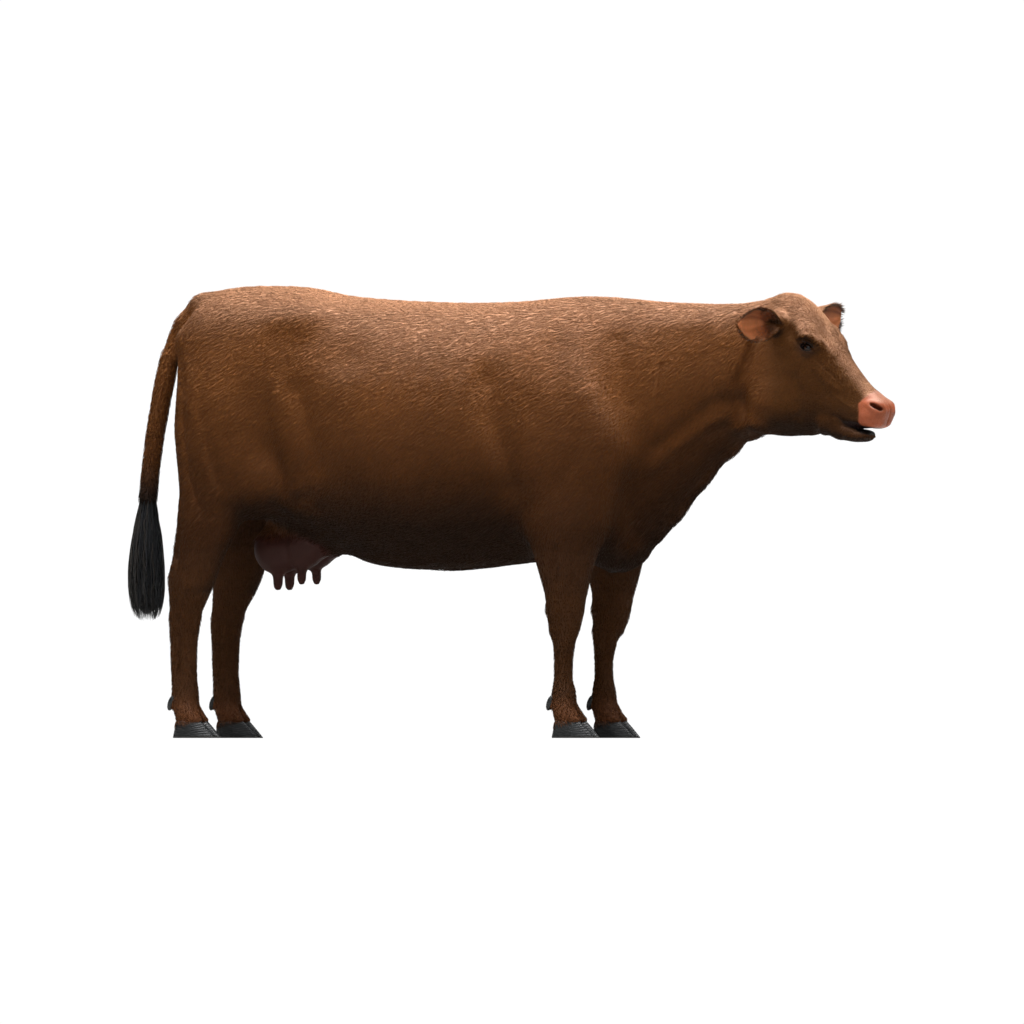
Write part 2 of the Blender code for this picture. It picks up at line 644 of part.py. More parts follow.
head = fused("head", head_forms(), voxel=0.008, smoothing=5, triangles=1150)
cut(head, half_space(*NECK_FRONT, GAP, True), "INTERSECT")
for side in SIDES:
    cut(head, eyeball("socket", SIDES[side], GAP), "DIFFERENCE")
    dress(eyeball("eye_" + side, SIDES[side]), "eye_" + side, "eye")
    axis = EARS[side][0]
    cut(head, beyond(ear_root(side), axis, 0.10, EAR_STEM), "DIFFERENCE")
    leaf = cut(ear(side), beyond(ear_root(side), axis, 0.50, EAR_STEM + GAP), "INTERSECT")
    dress(leaf, "ear_" + side, "coat")
cut(head, under_mouth(GAP), "DIFFERENCE")
muzzle = cut(copy_of(head, "muzzle"), half_space(*NOSE_BACK, GAP, True), "INTERSECT")
cut(head, half_space(*NOSE_BACK, 0, False), "INTERSECT")
jaw = fused("lower_jaw", [body_form("jaw form", LOWER_JAW)], 0.006, 3, 300)
cut(jaw, under_mouth(), "INTERSECT")

for side, sign in SIDES.items():
    for leg, stations, x, y, top in (
        ("foreleg_", FORE_LEG, FORE_X, FORE_Y, KNEE_CUT),
        ("hindleg_", HIND_LEG, HIND_X, HIND_Y, HOCK_CUT),
    ):
        name = leg + side + "_"
        shin = [station for station in stations if station[0] < top + SHIN_OVERLAP]
        dress(lower_leg(name, shin, x, y, sign, top), name + "lower", "coat")
        for where, outward in (("outer", 1), ("inner", -1)):
            made = claw(name, x, y, sign, outward)
            dress(made, name + "claw_" + where, "hoof")
            made = dewclaw(name, x, y, sign, outward)
            dress(made, name + "dewclaw_" + where, "hoof")

for name, made in upper.items():
    dress(made, name, "coat")
for name, made in (("trunk", trunk), ("neck", neck), ("head", head), ("lower_jaw", jaw)):
    dress(made, name, "coat")
dress(muzzle, "muzzle", "nose")
for side, sign in SIDES.items():
    for where, (x, y, tip, radius) in TEATS.items():
        cut(udder, teat("seat", x, y, tip, radius, sign, GAP), "DIFFERENCE")
        made = teat("teat", x, y, tip, radius, sign)
        dress(made, "teat_" + where + "_" + side, "udder")
dress(udder, "udder", "udder")
dress(tail_upper, "tail_upper", "coat")
dress(tail_lower, "tail_lower", "coat")
dress(switch, "tail_switch", "switch")

# ---- The origin: on the floor, under the middle of the whole -----------------------------
parts = [part for part in bpy.context.scene.objects if not part.hide_render]
reach = [vertex.co.x for part in parts for vertex in part.data.vertices]
to_middle = Matrix.Translation((-(min(reach) + max(reach)) / 2, 0, 0))
for part in parts:
    part.data.transform(to_middle)
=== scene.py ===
"""A polled brown cow, life size, as a still museum model.

One skin is drawn over the solids of flesh. Short hair lies on it in tufts, and the eyes, hooves
and the hair of the tail are pieces of their own. Metres; the cow faces +X, its left is +Y.
"""

import math

import bmesh
import bpy
import numpy as np
import openvdb
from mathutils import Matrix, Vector


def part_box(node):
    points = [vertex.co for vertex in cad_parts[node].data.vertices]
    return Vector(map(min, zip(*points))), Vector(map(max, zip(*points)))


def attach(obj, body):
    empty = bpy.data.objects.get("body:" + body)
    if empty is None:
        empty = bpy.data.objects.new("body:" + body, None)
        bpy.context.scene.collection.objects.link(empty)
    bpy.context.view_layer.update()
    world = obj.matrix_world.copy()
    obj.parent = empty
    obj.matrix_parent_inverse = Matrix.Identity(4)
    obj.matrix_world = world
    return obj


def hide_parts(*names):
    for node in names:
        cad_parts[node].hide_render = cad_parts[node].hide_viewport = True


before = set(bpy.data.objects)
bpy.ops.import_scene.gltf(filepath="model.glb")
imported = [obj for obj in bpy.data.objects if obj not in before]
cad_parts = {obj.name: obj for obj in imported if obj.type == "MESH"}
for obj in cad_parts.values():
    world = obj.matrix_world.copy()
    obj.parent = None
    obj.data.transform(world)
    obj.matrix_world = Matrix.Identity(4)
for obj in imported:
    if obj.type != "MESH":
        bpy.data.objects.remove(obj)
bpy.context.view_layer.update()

# ---- The room ----------------------------------------------------------------------------
# A pale painted floor in a pale room, as in a museum's photo studio. One broad softbox hangs
# overhead, a weaker one stands in front of the cow's right side, and the camera looks level.
LOOK_AT = Vector((0.0058, 0.0, 0.7006))
LOOK_FROM = 22.0             # degrees that the camera stands forward of the cow's right side
FRAME_WIDE = 3.1744          # metres from edge to edge of the view
CAMERA_AWAY = 7.0
FLOOR_HALF = 8.0


def linear(hex_colour):
    """An sRGB hex colour as linear red, green and blue."""
    parts = np.array([int(hex_colour[i:i + 2], 16) / 255 for i in (1, 3, 5)])
    return np.where(parts <= 0.04045, parts / 12.92, ((parts + 0.055) / 1.055) ** 2.4)


def add_node(material, kind, settings=None, **inputs):
    """A shader node with its settings; an input is a value or another node's output."""
    tree = material.node_tree
    made = tree.nodes.new(kind)
    for name, value in (settings or {}).items():
        setattr(made, name, value)
    for name, value in inputs.items():
        key = name.replace("_", " ")
        socket = made.inputs[int(key[1:])] if key[1:].isdigit() else made.inputs[key]
        if isinstance(value, bpy.types.NodeSocket):
            tree.links.new(value, socket)
        else:
            socket.default_value = value
    return made


def new_material(name, roughness, specular=0.5):
    """A material and its shader."""
    made = bpy.data.materials.new(name)
    made.use_nodes = True
    shader = made.node_tree.nodes["Principled BSDF"]
    shader.inputs["Roughness"].default_value = roughness
    shader.inputs["Specular IOR Level"].default_value = specular
    return made, shader


def softbox(name, place, towards, size, watts, spread=180):
    """A flat light of this size in metres, facing a point."""
    light = bpy.data.lights.new(name, "AREA")
    light.shape = "RECTANGLE"
    light.size, light.size_y = size
    light.energy = watts
    light.spread = math.radians(spread)
    made = bpy.data.objects.new(name, light)
    made.location = place
    made.rotation_euler = (Vector(towards) - Vector(place)).to_track_quat("-Z", "Y").to_euler()
    bpy.context.scene.collection.objects.link(made)


turn = math.radians(LOOK_FROM)
towards_camera = Vector((math.sin(turn), -math.cos(turn), 0))
camera_data = bpy.data.cameras.new("camera")
camera_data.type = "ORTHO"
camera_data.ortho_scale = FRAME_WIDE
camera = bpy.data.objects.new("camera", camera_data)
camera.location = LOOK_AT + towards_camera * CAMERA_AWAY
camera.rotation_euler = (-towards_camera).to_track_quat("-Z", "Y").to_euler()
bpy.context.scene.collection.objects.link(camera)
bpy.context.scene.camera = camera
bpy.context.scene.view_settings.view_transform = "Standard"

softbox("overhead softbox", (0.1, -0.3, 3.6), (0, 0, 0.8), (4.6, 2.4), 500)
softbox("side softbox", LOOK_AT + towards_camera * 4.2 + Vector((1.0, 0, 2.2)), LOOK_AT,
        (2.4, 1.8), 22)
softbox("far softbox", (-1.6, 4.0, 2.6), LOOK_AT, (2.4, 2.0), 10)
# panels with grids light the floor round about, and not the cow
for side in (-1, 1):
    softbox("ceiling panel", (0, side * 5.8, 3.4), (0, side * 5.8 + 0.001, 0), (16, 5.6), 420, 70)
    softbox("end panel", (side * 6.0, 0, 3.4), (side * 6.0, 0.001, 0), (5.2, 6.0), 150, 70)

# the walls of the room are white up to eye level and dark over it
room = bpy.data.worlds.new("pale room")
room.use_nodes = True
place = add_node(room, "ShaderNodeTexCoord")
parts = add_node(room, "ShaderNodeSeparateXYZ", Vector=place.outputs["Generated"])
walls = add_node(room, "ShaderNodeMapRange", Value=parts.outputs["Z"], From_Min=0.01, From_Max=0.05,
                 To_Min=1.02, To_Max=0.05)
backdrop = room.node_tree.nodes["Background"]
room.node_tree.links.new(walls.outputs[0], backdrop.inputs["Strength"])
backdrop.inputs["Color"].default_value = (1, 1, 1, 1)
bpy.context.scene.world = room

floor_mesh = bpy.data.meshes.new("floor")
floor_mesh.from_pydata(
    [(x * FLOOR_HALF, y * FLOOR_HALF, 0) for x, y in ((-1, -1), (1, -1), (1, 1), (-1, 1))],
    [], [(0, 1, 2, 3)],
)
floor = bpy.data.objects.new("floor", floor_mesh)
bpy.context.scene.collection.objects.link(floor)
paint, paint_shader = new_material("matt floor paint", 0.85, 0.2)
speckle = add_node(paint, "ShaderNodeTexNoise", Scale=3.0, Detail=3.0)
shade = add_node(paint, "ShaderNodeValToRGB", Fac=speckle.outputs["Fac"])
shade.color_ramp.elements[0].color = (*linear("#aeada9"), 1)
shade.color_ramp.elements[1].color = (*linear("#b9b8b4"), 1)
paint.node_tree.links.new(shade.outputs["Color"], paint_shader.inputs["Base Color"])
floor_mesh.materials.append(paint)

# ---- The skin ----------------------------------------------------------------------------
# One hide from nose to tail, over all the solids of flesh. Its distance field closes the cuts
# between them, rounds the facets off and lies deeper by the height that the coat stands up.
# The grid's cells shrink from the trunk to the head, where the lids and nostrils are small.
CLOSE = 0.0012               # the field is closed over cuts up to twice this wide
BODY_STEP = 0.006
HEAD_STEP = 0.00225
BODY_LOW, BODY_HIGH = (-1.290, -0.366, -0.012), (0.900, 0.366, 1.416)
HEAD_LOW, HEAD_HIGH = (0.740, -0.306, 0.880), (1.290, 0.306, 1.420)
FLESH = [
    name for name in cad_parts
    if "claw" not in name and not name.startswith("eye") and name != "tail_switch"
]
LEGS = {"foreleg": (0.240, 0.167), "hindleg": (-1.024, 0.173)}      # middles of the left feet
CLAWS = [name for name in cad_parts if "claw" in name]
EYE_X = 1.029                # where the eyes lie in the plan that gives the places below
CORONET_SLOPE = 0.26         # rise of the hoof's upper edge towards the toe
low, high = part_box("eye_left")
SHIFT = np.array(((low + high)[0] / 2 - EYE_X, 0, 0))      # from that plan to the frame


def read(items, what, kind=np.float32, width=3):
    """An array of one property of a mesh's points, triangles or corners."""
    out = np.empty(len(items) * width, kind)
    items.foreach_get(what, out)
    return out.reshape(-1, width)


def distances(names, low, high, step, band):
    """Signed distance to the common surface of these solids, on a grid from low to high."""
    points, faces, count = [], [], 0
    for name in names:
        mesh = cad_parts[name].data
        mesh.calc_loop_triangles()
        points.append(read(mesh.vertices, "co"))
        faces.append(read(mesh.loop_triangles, "vertices", np.int32) + count)
        count += len(points[-1])
    in_metres = openvdb.createLinearTransform(voxelSize=step)
    make = openvdb.FloatGrid.createLevelSetFromPolygons
    grid = make(np.concatenate(points), triangles=np.concatenate(faces), transform=in_metres,
                exBandWidth=4, inBandWidth=4)
    points, triangles, quads = grid.convertToPolygons(isovalue=CLOSE)
    grid = make(points, triangles=triangles, quads=quads, transform=in_metres,
                exBandWidth=band, inBandWidth=band)
    first = np.round(np.array(low) / step).astype(int)
    count = np.round((np.array(high) - low) / step).astype(int) + 1
    field = np.empty(count, np.float32)
    grid.copyToArray(field, ijk=tuple(int(i) for i in first))
    return field + CLOSE, [(first[a] + np.arange(count[a])) * step for a in range(3)]


def blurred(field, cells):
    """The field under a soft blur that reaches over about this many cells."""
    reach = int(math.ceil(2.6 * cells))
    weights = np.exp(-0.5 * (np.arange(-reach, reach + 1) / cells) ** 2)
    weights /= weights.sum()
    for axis in range(3):
        wide = np.pad(field, [(reach, reach) if a == axis else (0, 0) for a in range(3)], "edge")
        field = np.zeros_like(field)
        for i, weight in enumerate(weights):
            there = [slice(None)] * 3
            there[axis] = slice(i, i + field.shape[axis])
            field += np.float32(weight) * wide[tuple(there)]
    return field


def ease(low, high, value):
    """0 below low, 1 above high and smooth between."""
    t = np.clip((value - low) / (high - low), 0, 1)
    return t * t * (3 - 2 * t)


def hump(low, rise, fall, high, value):
    """1 between rise and fall, easing to 0 at low and at high."""
    return ease(low, rise, value) * (1 - ease(fall, high, value))


def join(a, b, round_by):
    """The union of two fields, filleted."""
    near = np.maximum(round_by - np.abs(a - b), 0) / round_by
    return np.minimum(a, b) - near * near * round_by / 4


def carve(a, b, round_by):
    """Field a without field b, its edge rounded."""
    return -join(-a, b, round_by)


def mouth_slot(x, z):
    """Height over the line along which the mouth opens."""
    return z - 0.979 + (x - 1.123) * 0.17


def nose_ahead(x, z):
    """Distance ahead of the line where the bare nose begins."""
    return (x - SHIFT[0] - 1.182 - 0.034 * ease(1.028, 1.084, z)) * 0.95


def over_coronet(x, z):
    """Height over the sloping edge where the hide runs into the hoof."""
    toe = np.where(x > -0.4, x - SHIFT[0] - 0.267, x - SHIFT[0] + 0.997)
    return z - 0.052 - CORONET_SLOPE * np.clip(toe, -0.08, 0.08)


def coat_depth(x, y, z):
    """How far under the solids' surface the hide lies: the height of the coat."""
    depth = 0.0055 - 0.0015 * (1 - ease(0.45, 0.75, z)) - 0.001 * (1 - ease(0.15, 0.30, z))
    depth = depth + (0.0022 - depth) * ease(0.86, 0.96, x)
    depth = depth + (0.0004 - depth) * ease(-0.006, 0.006, nose_ahead(x, z))
    bag = hump(-0.88, -0.85, -0.60, -0.54, x) * (1 - ease(0.585, 0.635, z)) * (
        1 - ease(0.10, 0.13, np.abs(y)))
    depth = depth + (0.0008 - depth - 0.004 * (1 - ease(0.50, 0.54, z))) * bag
    depth = depth + (0.0022 - depth) * ease(1.11, 1.14, -x)
    in_hoof = 1 - ease(-0.016, -0.004, over_coronet(x, z))
    return depth + 0.010 * in_hoof


def under_throat(x, y, z):
    """The flesh that fills the corner between the jaws and the neck."""
    far = ((x - SHIFT[0] - 0.788) / 0.040) ** 2 + (y / 0.055) ** 2 + ((z - 0.974) / 0.040) ** 2
    return (np.sqrt(far) - 1) * 0.040


def axes_of(grid_axes):
    """The grid's x, y and z, each along its own axis."""
    return grid_axes[0][:, None, None], grid_axes[1][None, :, None], grid_axes[2][None, None, :]


body, body_axes = distances(FLESH + CLAWS, BODY_LOW, BODY_HIGH, BODY_STEP, 13)
x, y, z = axes_of(body_axes)
barrel = hump(-1.04, -0.94, 0.70, 0.84, x) * ease(0.66, 0.90, z)
barrel = np.maximum(barrel, hump(-0.56, -0.44, 0.0, 0.08, x) * (z < 0.95))
fine = 1 - ease(0.42, 0.60, z)
fine = np.maximum(fine, 1 - ease(-1.14, -1.09, x))
fine = np.maximum(fine, hump(-0.90, -0.86, -0.60, -0.54, x) * (1 - ease(0.10, 0.13, np.abs(y)))
                  * (1 - ease(0.60, 0.66, z)))
smooth = blurred(body, 4.2) - 0.0012
middling = blurred(body, 2.0)
body = blurred(body, 0.9)
body += (middling - body) * (1 - fine)
body += (smooth - body) * (barrel * (1 - fine))
body += coat_depth(x, y, z)
body = join(body, under_throat(x, y, z), 0.030).astype(np.float32)
del smooth, middling

head, head_axes = distances(("neck", "head", "muzzle"), HEAD_LOW, HEAD_HIGH, HEAD_STEP, 9)
x, y, z = axes_of(head_axes)
jaw = blurred(distances(["lower_jaw"], HEAD_LOW, HEAD_HIGH, HEAD_STEP, 9)[0], 2.0)
head = blurred(head, 2.2)
# the lips are one flesh behind the mouth's corner and part before it
round_lips = 0.004 + 0.040 * (1 - ease(1.100, 1.145, x))
head = join(head, jaw, round_lips) + coat_depth(x, y, z)
head = join(head, under_throat(x, y, z), 0.030).astype(np.float32)
slot = mouth_slot(x - SHIFT[0], z)
head -= 0.0030 * ease(1.125, 1.150, x) * (1 - ease(0.012, 0.026, np.abs(slot)))
tongue = np.sqrt(((x - SHIFT[0] - 1.125) / 0.082) ** 2 + (y / 0.036) ** 2 + (slot / 0.0125) ** 2)
head = join(head, (tongue - 1) * 0.0125, 0.004)
del jaw, tongue


def segment(points, a, b, thick_a, thick_b):
    """Distance to a rod between two balls."""
    way = b - a
    t = np.clip((points - a) @ way / way.dot(way), 0, 1)
    away = np.linalg.norm(points - a - t[..., None] * way, axis=-1)
    return away - thick_a - (thick_b - thick_a) * t


def rods(balls):
    """The rods between neighbours in a row of balls (x, y, z, radius): ends and radii."""
    for first, second in zip(balls, balls[1:]):
        yield np.array(first[:3]) + SHIFT, np.array(second[:3]) + SHIFT, first[3], second[3]


def window(ranges):
    """The part of the head's grid inside these ranges, and its points on the left side."""
    span = tuple(slice(*np.searchsorted(head_axes[a], pair)) for a, pair in enumerate(ranges))
    near = np.stack(np.meshgrid(*(head_axes[a][span[a]] for a in range(3)), indexing="ij"), -1)
    return span, near


# the ears: cupped leaves with a round root; (along, half width as a share, half angle of the
# cup, wall as a share of the cup's radius, depth behind the ear's axis)
EAR_LONG, EAR_WIDE = 0.205, 0.118
EAR_COAT = 0.0013            # how far under their surface the hide of the ears lies
EAR_FOLDS = 8.5              # how close together the folds along the cup stand
EAR_SECTIONS = np.array([
    (0.05, 0.60, 170, 0.96, 0.034), (0.15, 0.62, 165, 0.92, 0.034), (0.26, 0.70, 130, 0.60, 0.031),
    (0.40, 0.88, 95, 0.20, 0.025), (0.56, 0.99, 74, 0.12, 0.017), (0.66, 1.00, 66, 0.11, 0.013),
    (0.76, 0.92, 62, 0.11, 0.010), (0.85, 0.76, 58, 0.13, 0.007), (0.92, 0.56, 54, 0.18, 0.005),
    (0.97, 0.35, 48, 0.30, 0.004), (1.00, 0.12, 45, 0.60, 0.003),
])
EARS = {
    "left": ((0.925, 0.088, 1.286), (0.285, 0.935, 0.095), (0.80, -0.20, -0.20)),
    "right": ((0.925, -0.088, 1.286), (-0.28, -0.96, 0.00), (0.80, -0.40, -0.20)),
}
EAR_ALONG = np.linspace(0, 1, 201)
EAR_FORM = []
for column in range(1, 5):
    row = np.interp(EAR_ALONG, EAR_SECTIONS[:, 0], EAR_SECTIONS[:, column])
    row = np.convolve(np.pad(row, 9, "edge"), np.hanning(19) / np.hanning(19).sum(), "valid")
    EAR_FORM.append(row)


def ear_axes(side):
    """The ear's root, and unit vectors along it, the way it opens, and across it."""
    root, axis, facing = (np.array(v) for v in EARS[side])
    axis = axis / np.linalg.norm(axis)
    facing = facing - axis * facing.dot(axis)
    facing /= np.linalg.norm(facing)
    return root + SHIFT, axis, facing, np.cross(axis, facing)


def in_ear(side, points):
    """Place in the ear: share along it, and in the section distance and angle from the cup's
    middle, with the cup's own radius, wall and half angle there."""
    root, axis, facing, across = ear_axes(side)
    offset = points - root
    along = offset @ axis / EAR_LONG
    share, angle, wall, back = (np.interp(along, EAR_ALONG, row) for row in EAR_FORM)
    angle = np.radians(angle)
    radius = share * EAR_WIDE / 2 / np.sin(np.minimum(angle, math.pi / 2))
    deep = offset @ facing - (radius - back)
    beside = offset @ across
    return along, np.hypot(deep, beside), np.arctan2(beside, -deep), radius, radius * wall, angle


for side in EARS:
    root, axis = ear_axes(side)[:2]
    tip = root + axis * EAR_LONG
    span, near = window(list(zip(np.minimum(root, tip) - 0.075, np.maximum(root, tip) + 0.075)))
    along, far, around, radius, wall, angle = in_ear(side, near)
    leaf = np.abs(far - radius + wall / 2) - wall / 2 + EAR_COAT
    leaf = np.maximum(leaf, radius * (np.abs(around) - angle) + EAR_COAT)
    leaf = np.maximum(leaf, (along - 1) * EAR_LONG + EAR_COAT)
    leaf = np.maximum(leaf, (0.03 - along) * EAR_LONG)
    head[span] = join(head[span], leaf.astype(np.float32), 0.010)

# the brows: a ridge over each eye that runs down beside the nose
BROW = [(0.985, 0.084, 1.276, 0.016), (1.024, 0.098, 1.252, 0.021), (1.056, 0.091, 1.222, 0.016),
        (1.086, 0.066, 1.182, 0.006)]
span, near = window(((0.94, 1.15), (-0.14, 0.14), (1.12, 1.32)))
near[..., 1] = np.abs(near[..., 1])
for rod in rods(BROW):
    head[span] = join(head[span], segment(near, *rod).astype(np.float32), 0.022)

# the eyes: each lies in lids, a shell over the ball with an almond opening
EYE_RADIUS = 0.0205
LID = 0.0034                 # thickness of a lid
GAP_LONG, GAP_HIGH = 0.0215, 0.0108      # half the opening, along and across
GAP_BACK = 0.0070            # the opening's middle, behind the middle of the gaze
GAZE = {"left": (0.34, 0.93, 0.08), "right": (0.34, -0.93, 0.08)}
CORNER = (0.93, 0.0, -0.36)  # from the eye's middle to its front corner


def eye_axes(side):
    """The eye's middle, and unit vectors out of it, to its front corner, and up across it."""
    low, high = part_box("eye_" + side)
    gaze = np.array(GAZE[side]) / np.linalg.norm(GAZE[side])
    ahead = np.array(CORNER) - gaze * gaze.dot(CORNER)
    ahead /= np.linalg.norm(ahead)
    up = np.cross(gaze, ahead)
    return np.array(low + high) / 2, gaze, ahead, up if up[2] > 0 else -up


def in_eye(side, points):
    """Places from the eye: out of it, along its opening and up across it."""
    middle, gaze, ahead, up = eye_axes(side)
    offset = points - middle
    return offset @ gaze, offset @ ahead + GAP_BACK, offset @ up


def lid_line(along, upper):
    """Height of a lid's margin over the line between the corners."""
    bow = np.clip(1 - (along / GAP_LONG) ** 2, -1, 1)
    return GAP_HIGH * (1.08 if upper else 0.86) * bow


for side in EARS:
    middle = eye_axes(side)[0]
    span, near = window(list(zip(middle - 0.05, middle + 0.05)))
    out, along, up = in_eye(side, near)
    ball = np.linalg.norm(near - middle, axis=-1)
    opening = np.maximum(up - lid_line(along, True), -up - lid_line(along, False)) * 0.9
    opening = np.maximum(opening, 0.004 - out)
    flesh = join(head[span], (ball - EYE_RADIUS - LID).astype(np.float32), 0.014)
    flesh = carve(flesh, opening, 0.0022)
    head[span] = carve(flesh, ball - EYE_RADIUS - 0.0002, 0.0008)

# the nostrils: comma-shaped hollows, each a row of balls from its mouth to its tail and inwards
NOSTRIL = [
    (1.251, 0.0415, 1.0150, 0.0085), (1.246, 0.0480, 1.0200, 0.0108),
    (1.239, 0.0530, 1.0262, 0.0100), (1.232, 0.0562, 1.0305, 0.0072),
    (1.226, 0.0578, 1.0330, 0.0048),
]
INWARDS = np.array((-0.86, -0.48, 0.10))
span, near = window(((1.17, 1.29), (-0.1, 0.1), (0.95, 1.08)))
near[..., 1] = np.abs(near[..., 1])
hollow = np.full(near.shape[:3], 1.0)
for a, b, thick_a, thick_b in rods(NOSTRIL):
    for depth in (0.0, 0.010, 0.020):
        inner, shrink = INWARDS * depth, 1 - depth * 14
        rod = segment(near, a + inner, b + inner, thick_a * shrink, thick_b * shrink)
        hollow = join(hollow, rod, 0.004)
rim = hollow - 0.0085
swollen = join(head[span], carve(rim, 0.0026 - head[span], 0.004), 0.006)
head[span] = carve(swollen, hollow, 0.0065)
head = blurred(head, 0.75)

# one bent grid: body cells behind, head cells in front and a taper between them
TAPER_START, TAPER_END = 0.775, 0.885
MIDDLE_Z = 1.150
rows = [body_axes[0][0]]
while rows[-1] < head_axes[0][-1]:
    size = BODY_STEP + (HEAD_STEP - BODY_STEP) * float(ease(TAPER_START, TAPER_END, rows[-1]))
    rows.append(rows[-1] + size)
rows = np.array(rows)
sizes = BODY_STEP + (HEAD_STEP - BODY_STEP) * ease(TAPER_START, TAPER_END, rows)
half_wide = int(0.300 / HEAD_STEP)
below, above = int((MIDDLE_Z + 0.009) / BODY_STEP), int(0.262 / HEAD_STEP)
columns = np.arange(-half_wide, half_wide + 1)
levels = np.arange(-below, above + 1)


OUTSIDE = 0.03               # the field where no grid reaches


def sampled(field, grid_axes, x, y, z):
    """The field at points between its cells; OUTSIDE beyond the grid."""
    place, weight = [], []
    inside = True
    for axis, value in zip(grid_axes, (x, y, z)):
        cell = (value - axis[0]) / (axis[1] - axis[0])
        inside = inside & (cell >= 0) & (cell <= len(axis) - 1.001)
        cell = np.clip(cell, 0, len(axis) - 1.001)
        place.append(cell.astype(int))
        weight.append(cell - place[-1])
    out = np.zeros(np.broadcast(x, y, z).shape, np.float32)
    for corner in range(8):
        bits = [(corner >> k) & 1 for k in range(3)]
        share = np.ones((), np.float32)
        for k in range(3):
            share = share * (weight[k] if bits[k] else 1 - weight[k])
        out += share * field[tuple(place[k] + bits[k] for k in range(3))]
    return np.where(inside, out, OUTSIDE)


bent = np.full((len(rows), len(columns), len(levels)), OUTSIDE, np.float32)
for i, (row, size) in enumerate(zip(rows, sizes)):
    mix = ease(TAPER_START, TAPER_END, row)
    across, height = (columns * size)[:, None], (MIDDLE_Z + levels * size)[None, :]
    if mix < 1:
        bent[i] = sampled(body, body_axes, row, across, height)
    if mix > 0:
        ahead = sampled(head, head_axes, row, across, height)
        bent[i] += (ahead - bent[i]) * mix
del body, head

cells = openvdb.FloatGrid(OUTSIDE)
cells.copyFromArray(bent, tolerance=0.0)
points, quads = cells.convertToQuads(isovalue=0.0)
del bent, cells


def unbent(points):
    """From the bent grid's cells to metres."""
    row = np.interp(points[:, 0], np.arange(len(rows)), rows)
    size = np.interp(points[:, 0], np.arange(len(rows)), sizes)
    across, up = (points[:, 1] - half_wide) * size, (points[:, 2] - below) * size
    return np.stack([row, across, MIDDLE_Z + up], 1)


skin_points = unbent(np.array(points, float))
skin_quads = np.array(quads)

# the forms under the hide: raised or sunk along its normals, alike on both sides
hide = bpy.data.meshes.new("hide")


def smoothed(mesh):
    mesh.polygons.foreach_set("use_smooth", np.ones(len(mesh.polygons), bool))


def fill_mesh(mesh, points, faces):
    """Gives a mesh these points and faces, all faces with as many corners."""
    sides = faces.shape[1]
    mesh.vertices.add(len(points))
    mesh.vertices.foreach_set("co", points.astype(np.float32).ravel())
    mesh.loops.add(faces.size)
    mesh.loops.foreach_set("vertex_index", faces.astype(np.int32).ravel())
    mesh.polygons.add(len(faces))
    mesh.polygons.foreach_set("loop_start", np.arange(len(faces), dtype=np.int32) * sides)
    mesh.update(calc_edges=True)
    smoothed(mesh)


fill_mesh(hide, skin_points, skin_quads)
normals = read(hide.vertex_normals, "vector")
plan = skin_points - SHIFT
plan[:, 1] = np.abs(plan[:, 1])
rise = np.zeros(len(plan))
facing_side = ease(0.15, 0.55, np.abs(normals[:, 1]))


def swell(centre, radii, height, turned):
    """Raises (or sinks) the hide over an egg-shaped place, turned about Y."""
    offset = plan - centre
    c, s = math.cos(math.radians(turned)), math.sin(math.radians(turned))
    along = (offset[:, 0] * c - offset[:, 2] * s) / radii[0]
    up = (offset[:, 0] * s + offset[:, 2] * c) / radii[2]
    rise[:] += height * np.exp(-along ** 2 - (offset[:, 1] / radii[1]) ** 2 - up ** 2)


def ridge(path, width, height):
    """Raises (or sinks) the hide along a path seen from the side, fading at its ends."""
    path = np.array(path, float)
    nearest = np.full(len(plan), 9.0)
    place = np.zeros(len(plan))
    for i, (a, b) in enumerate(zip(path, path[1:])):
        way = b - a
        ahead, up = plan[:, 0] - a[0], plan[:, 2] - a[1]
        t = np.clip((ahead * way[0] + up * way[1]) / way.dot(way), 0, 1)
        gap = np.hypot(ahead - t * way[0], up - t * way[1])
        place = np.where(gap < nearest, (i + t) / (len(path) - 1), place)
        nearest = np.minimum(gap, nearest)
    ends = ease(0.0, 0.18, place) * (1 - ease(0.82, 1.0, place))
    rise[:] += height * np.exp(-(nearest / width) ** 2) * ends * facing_side


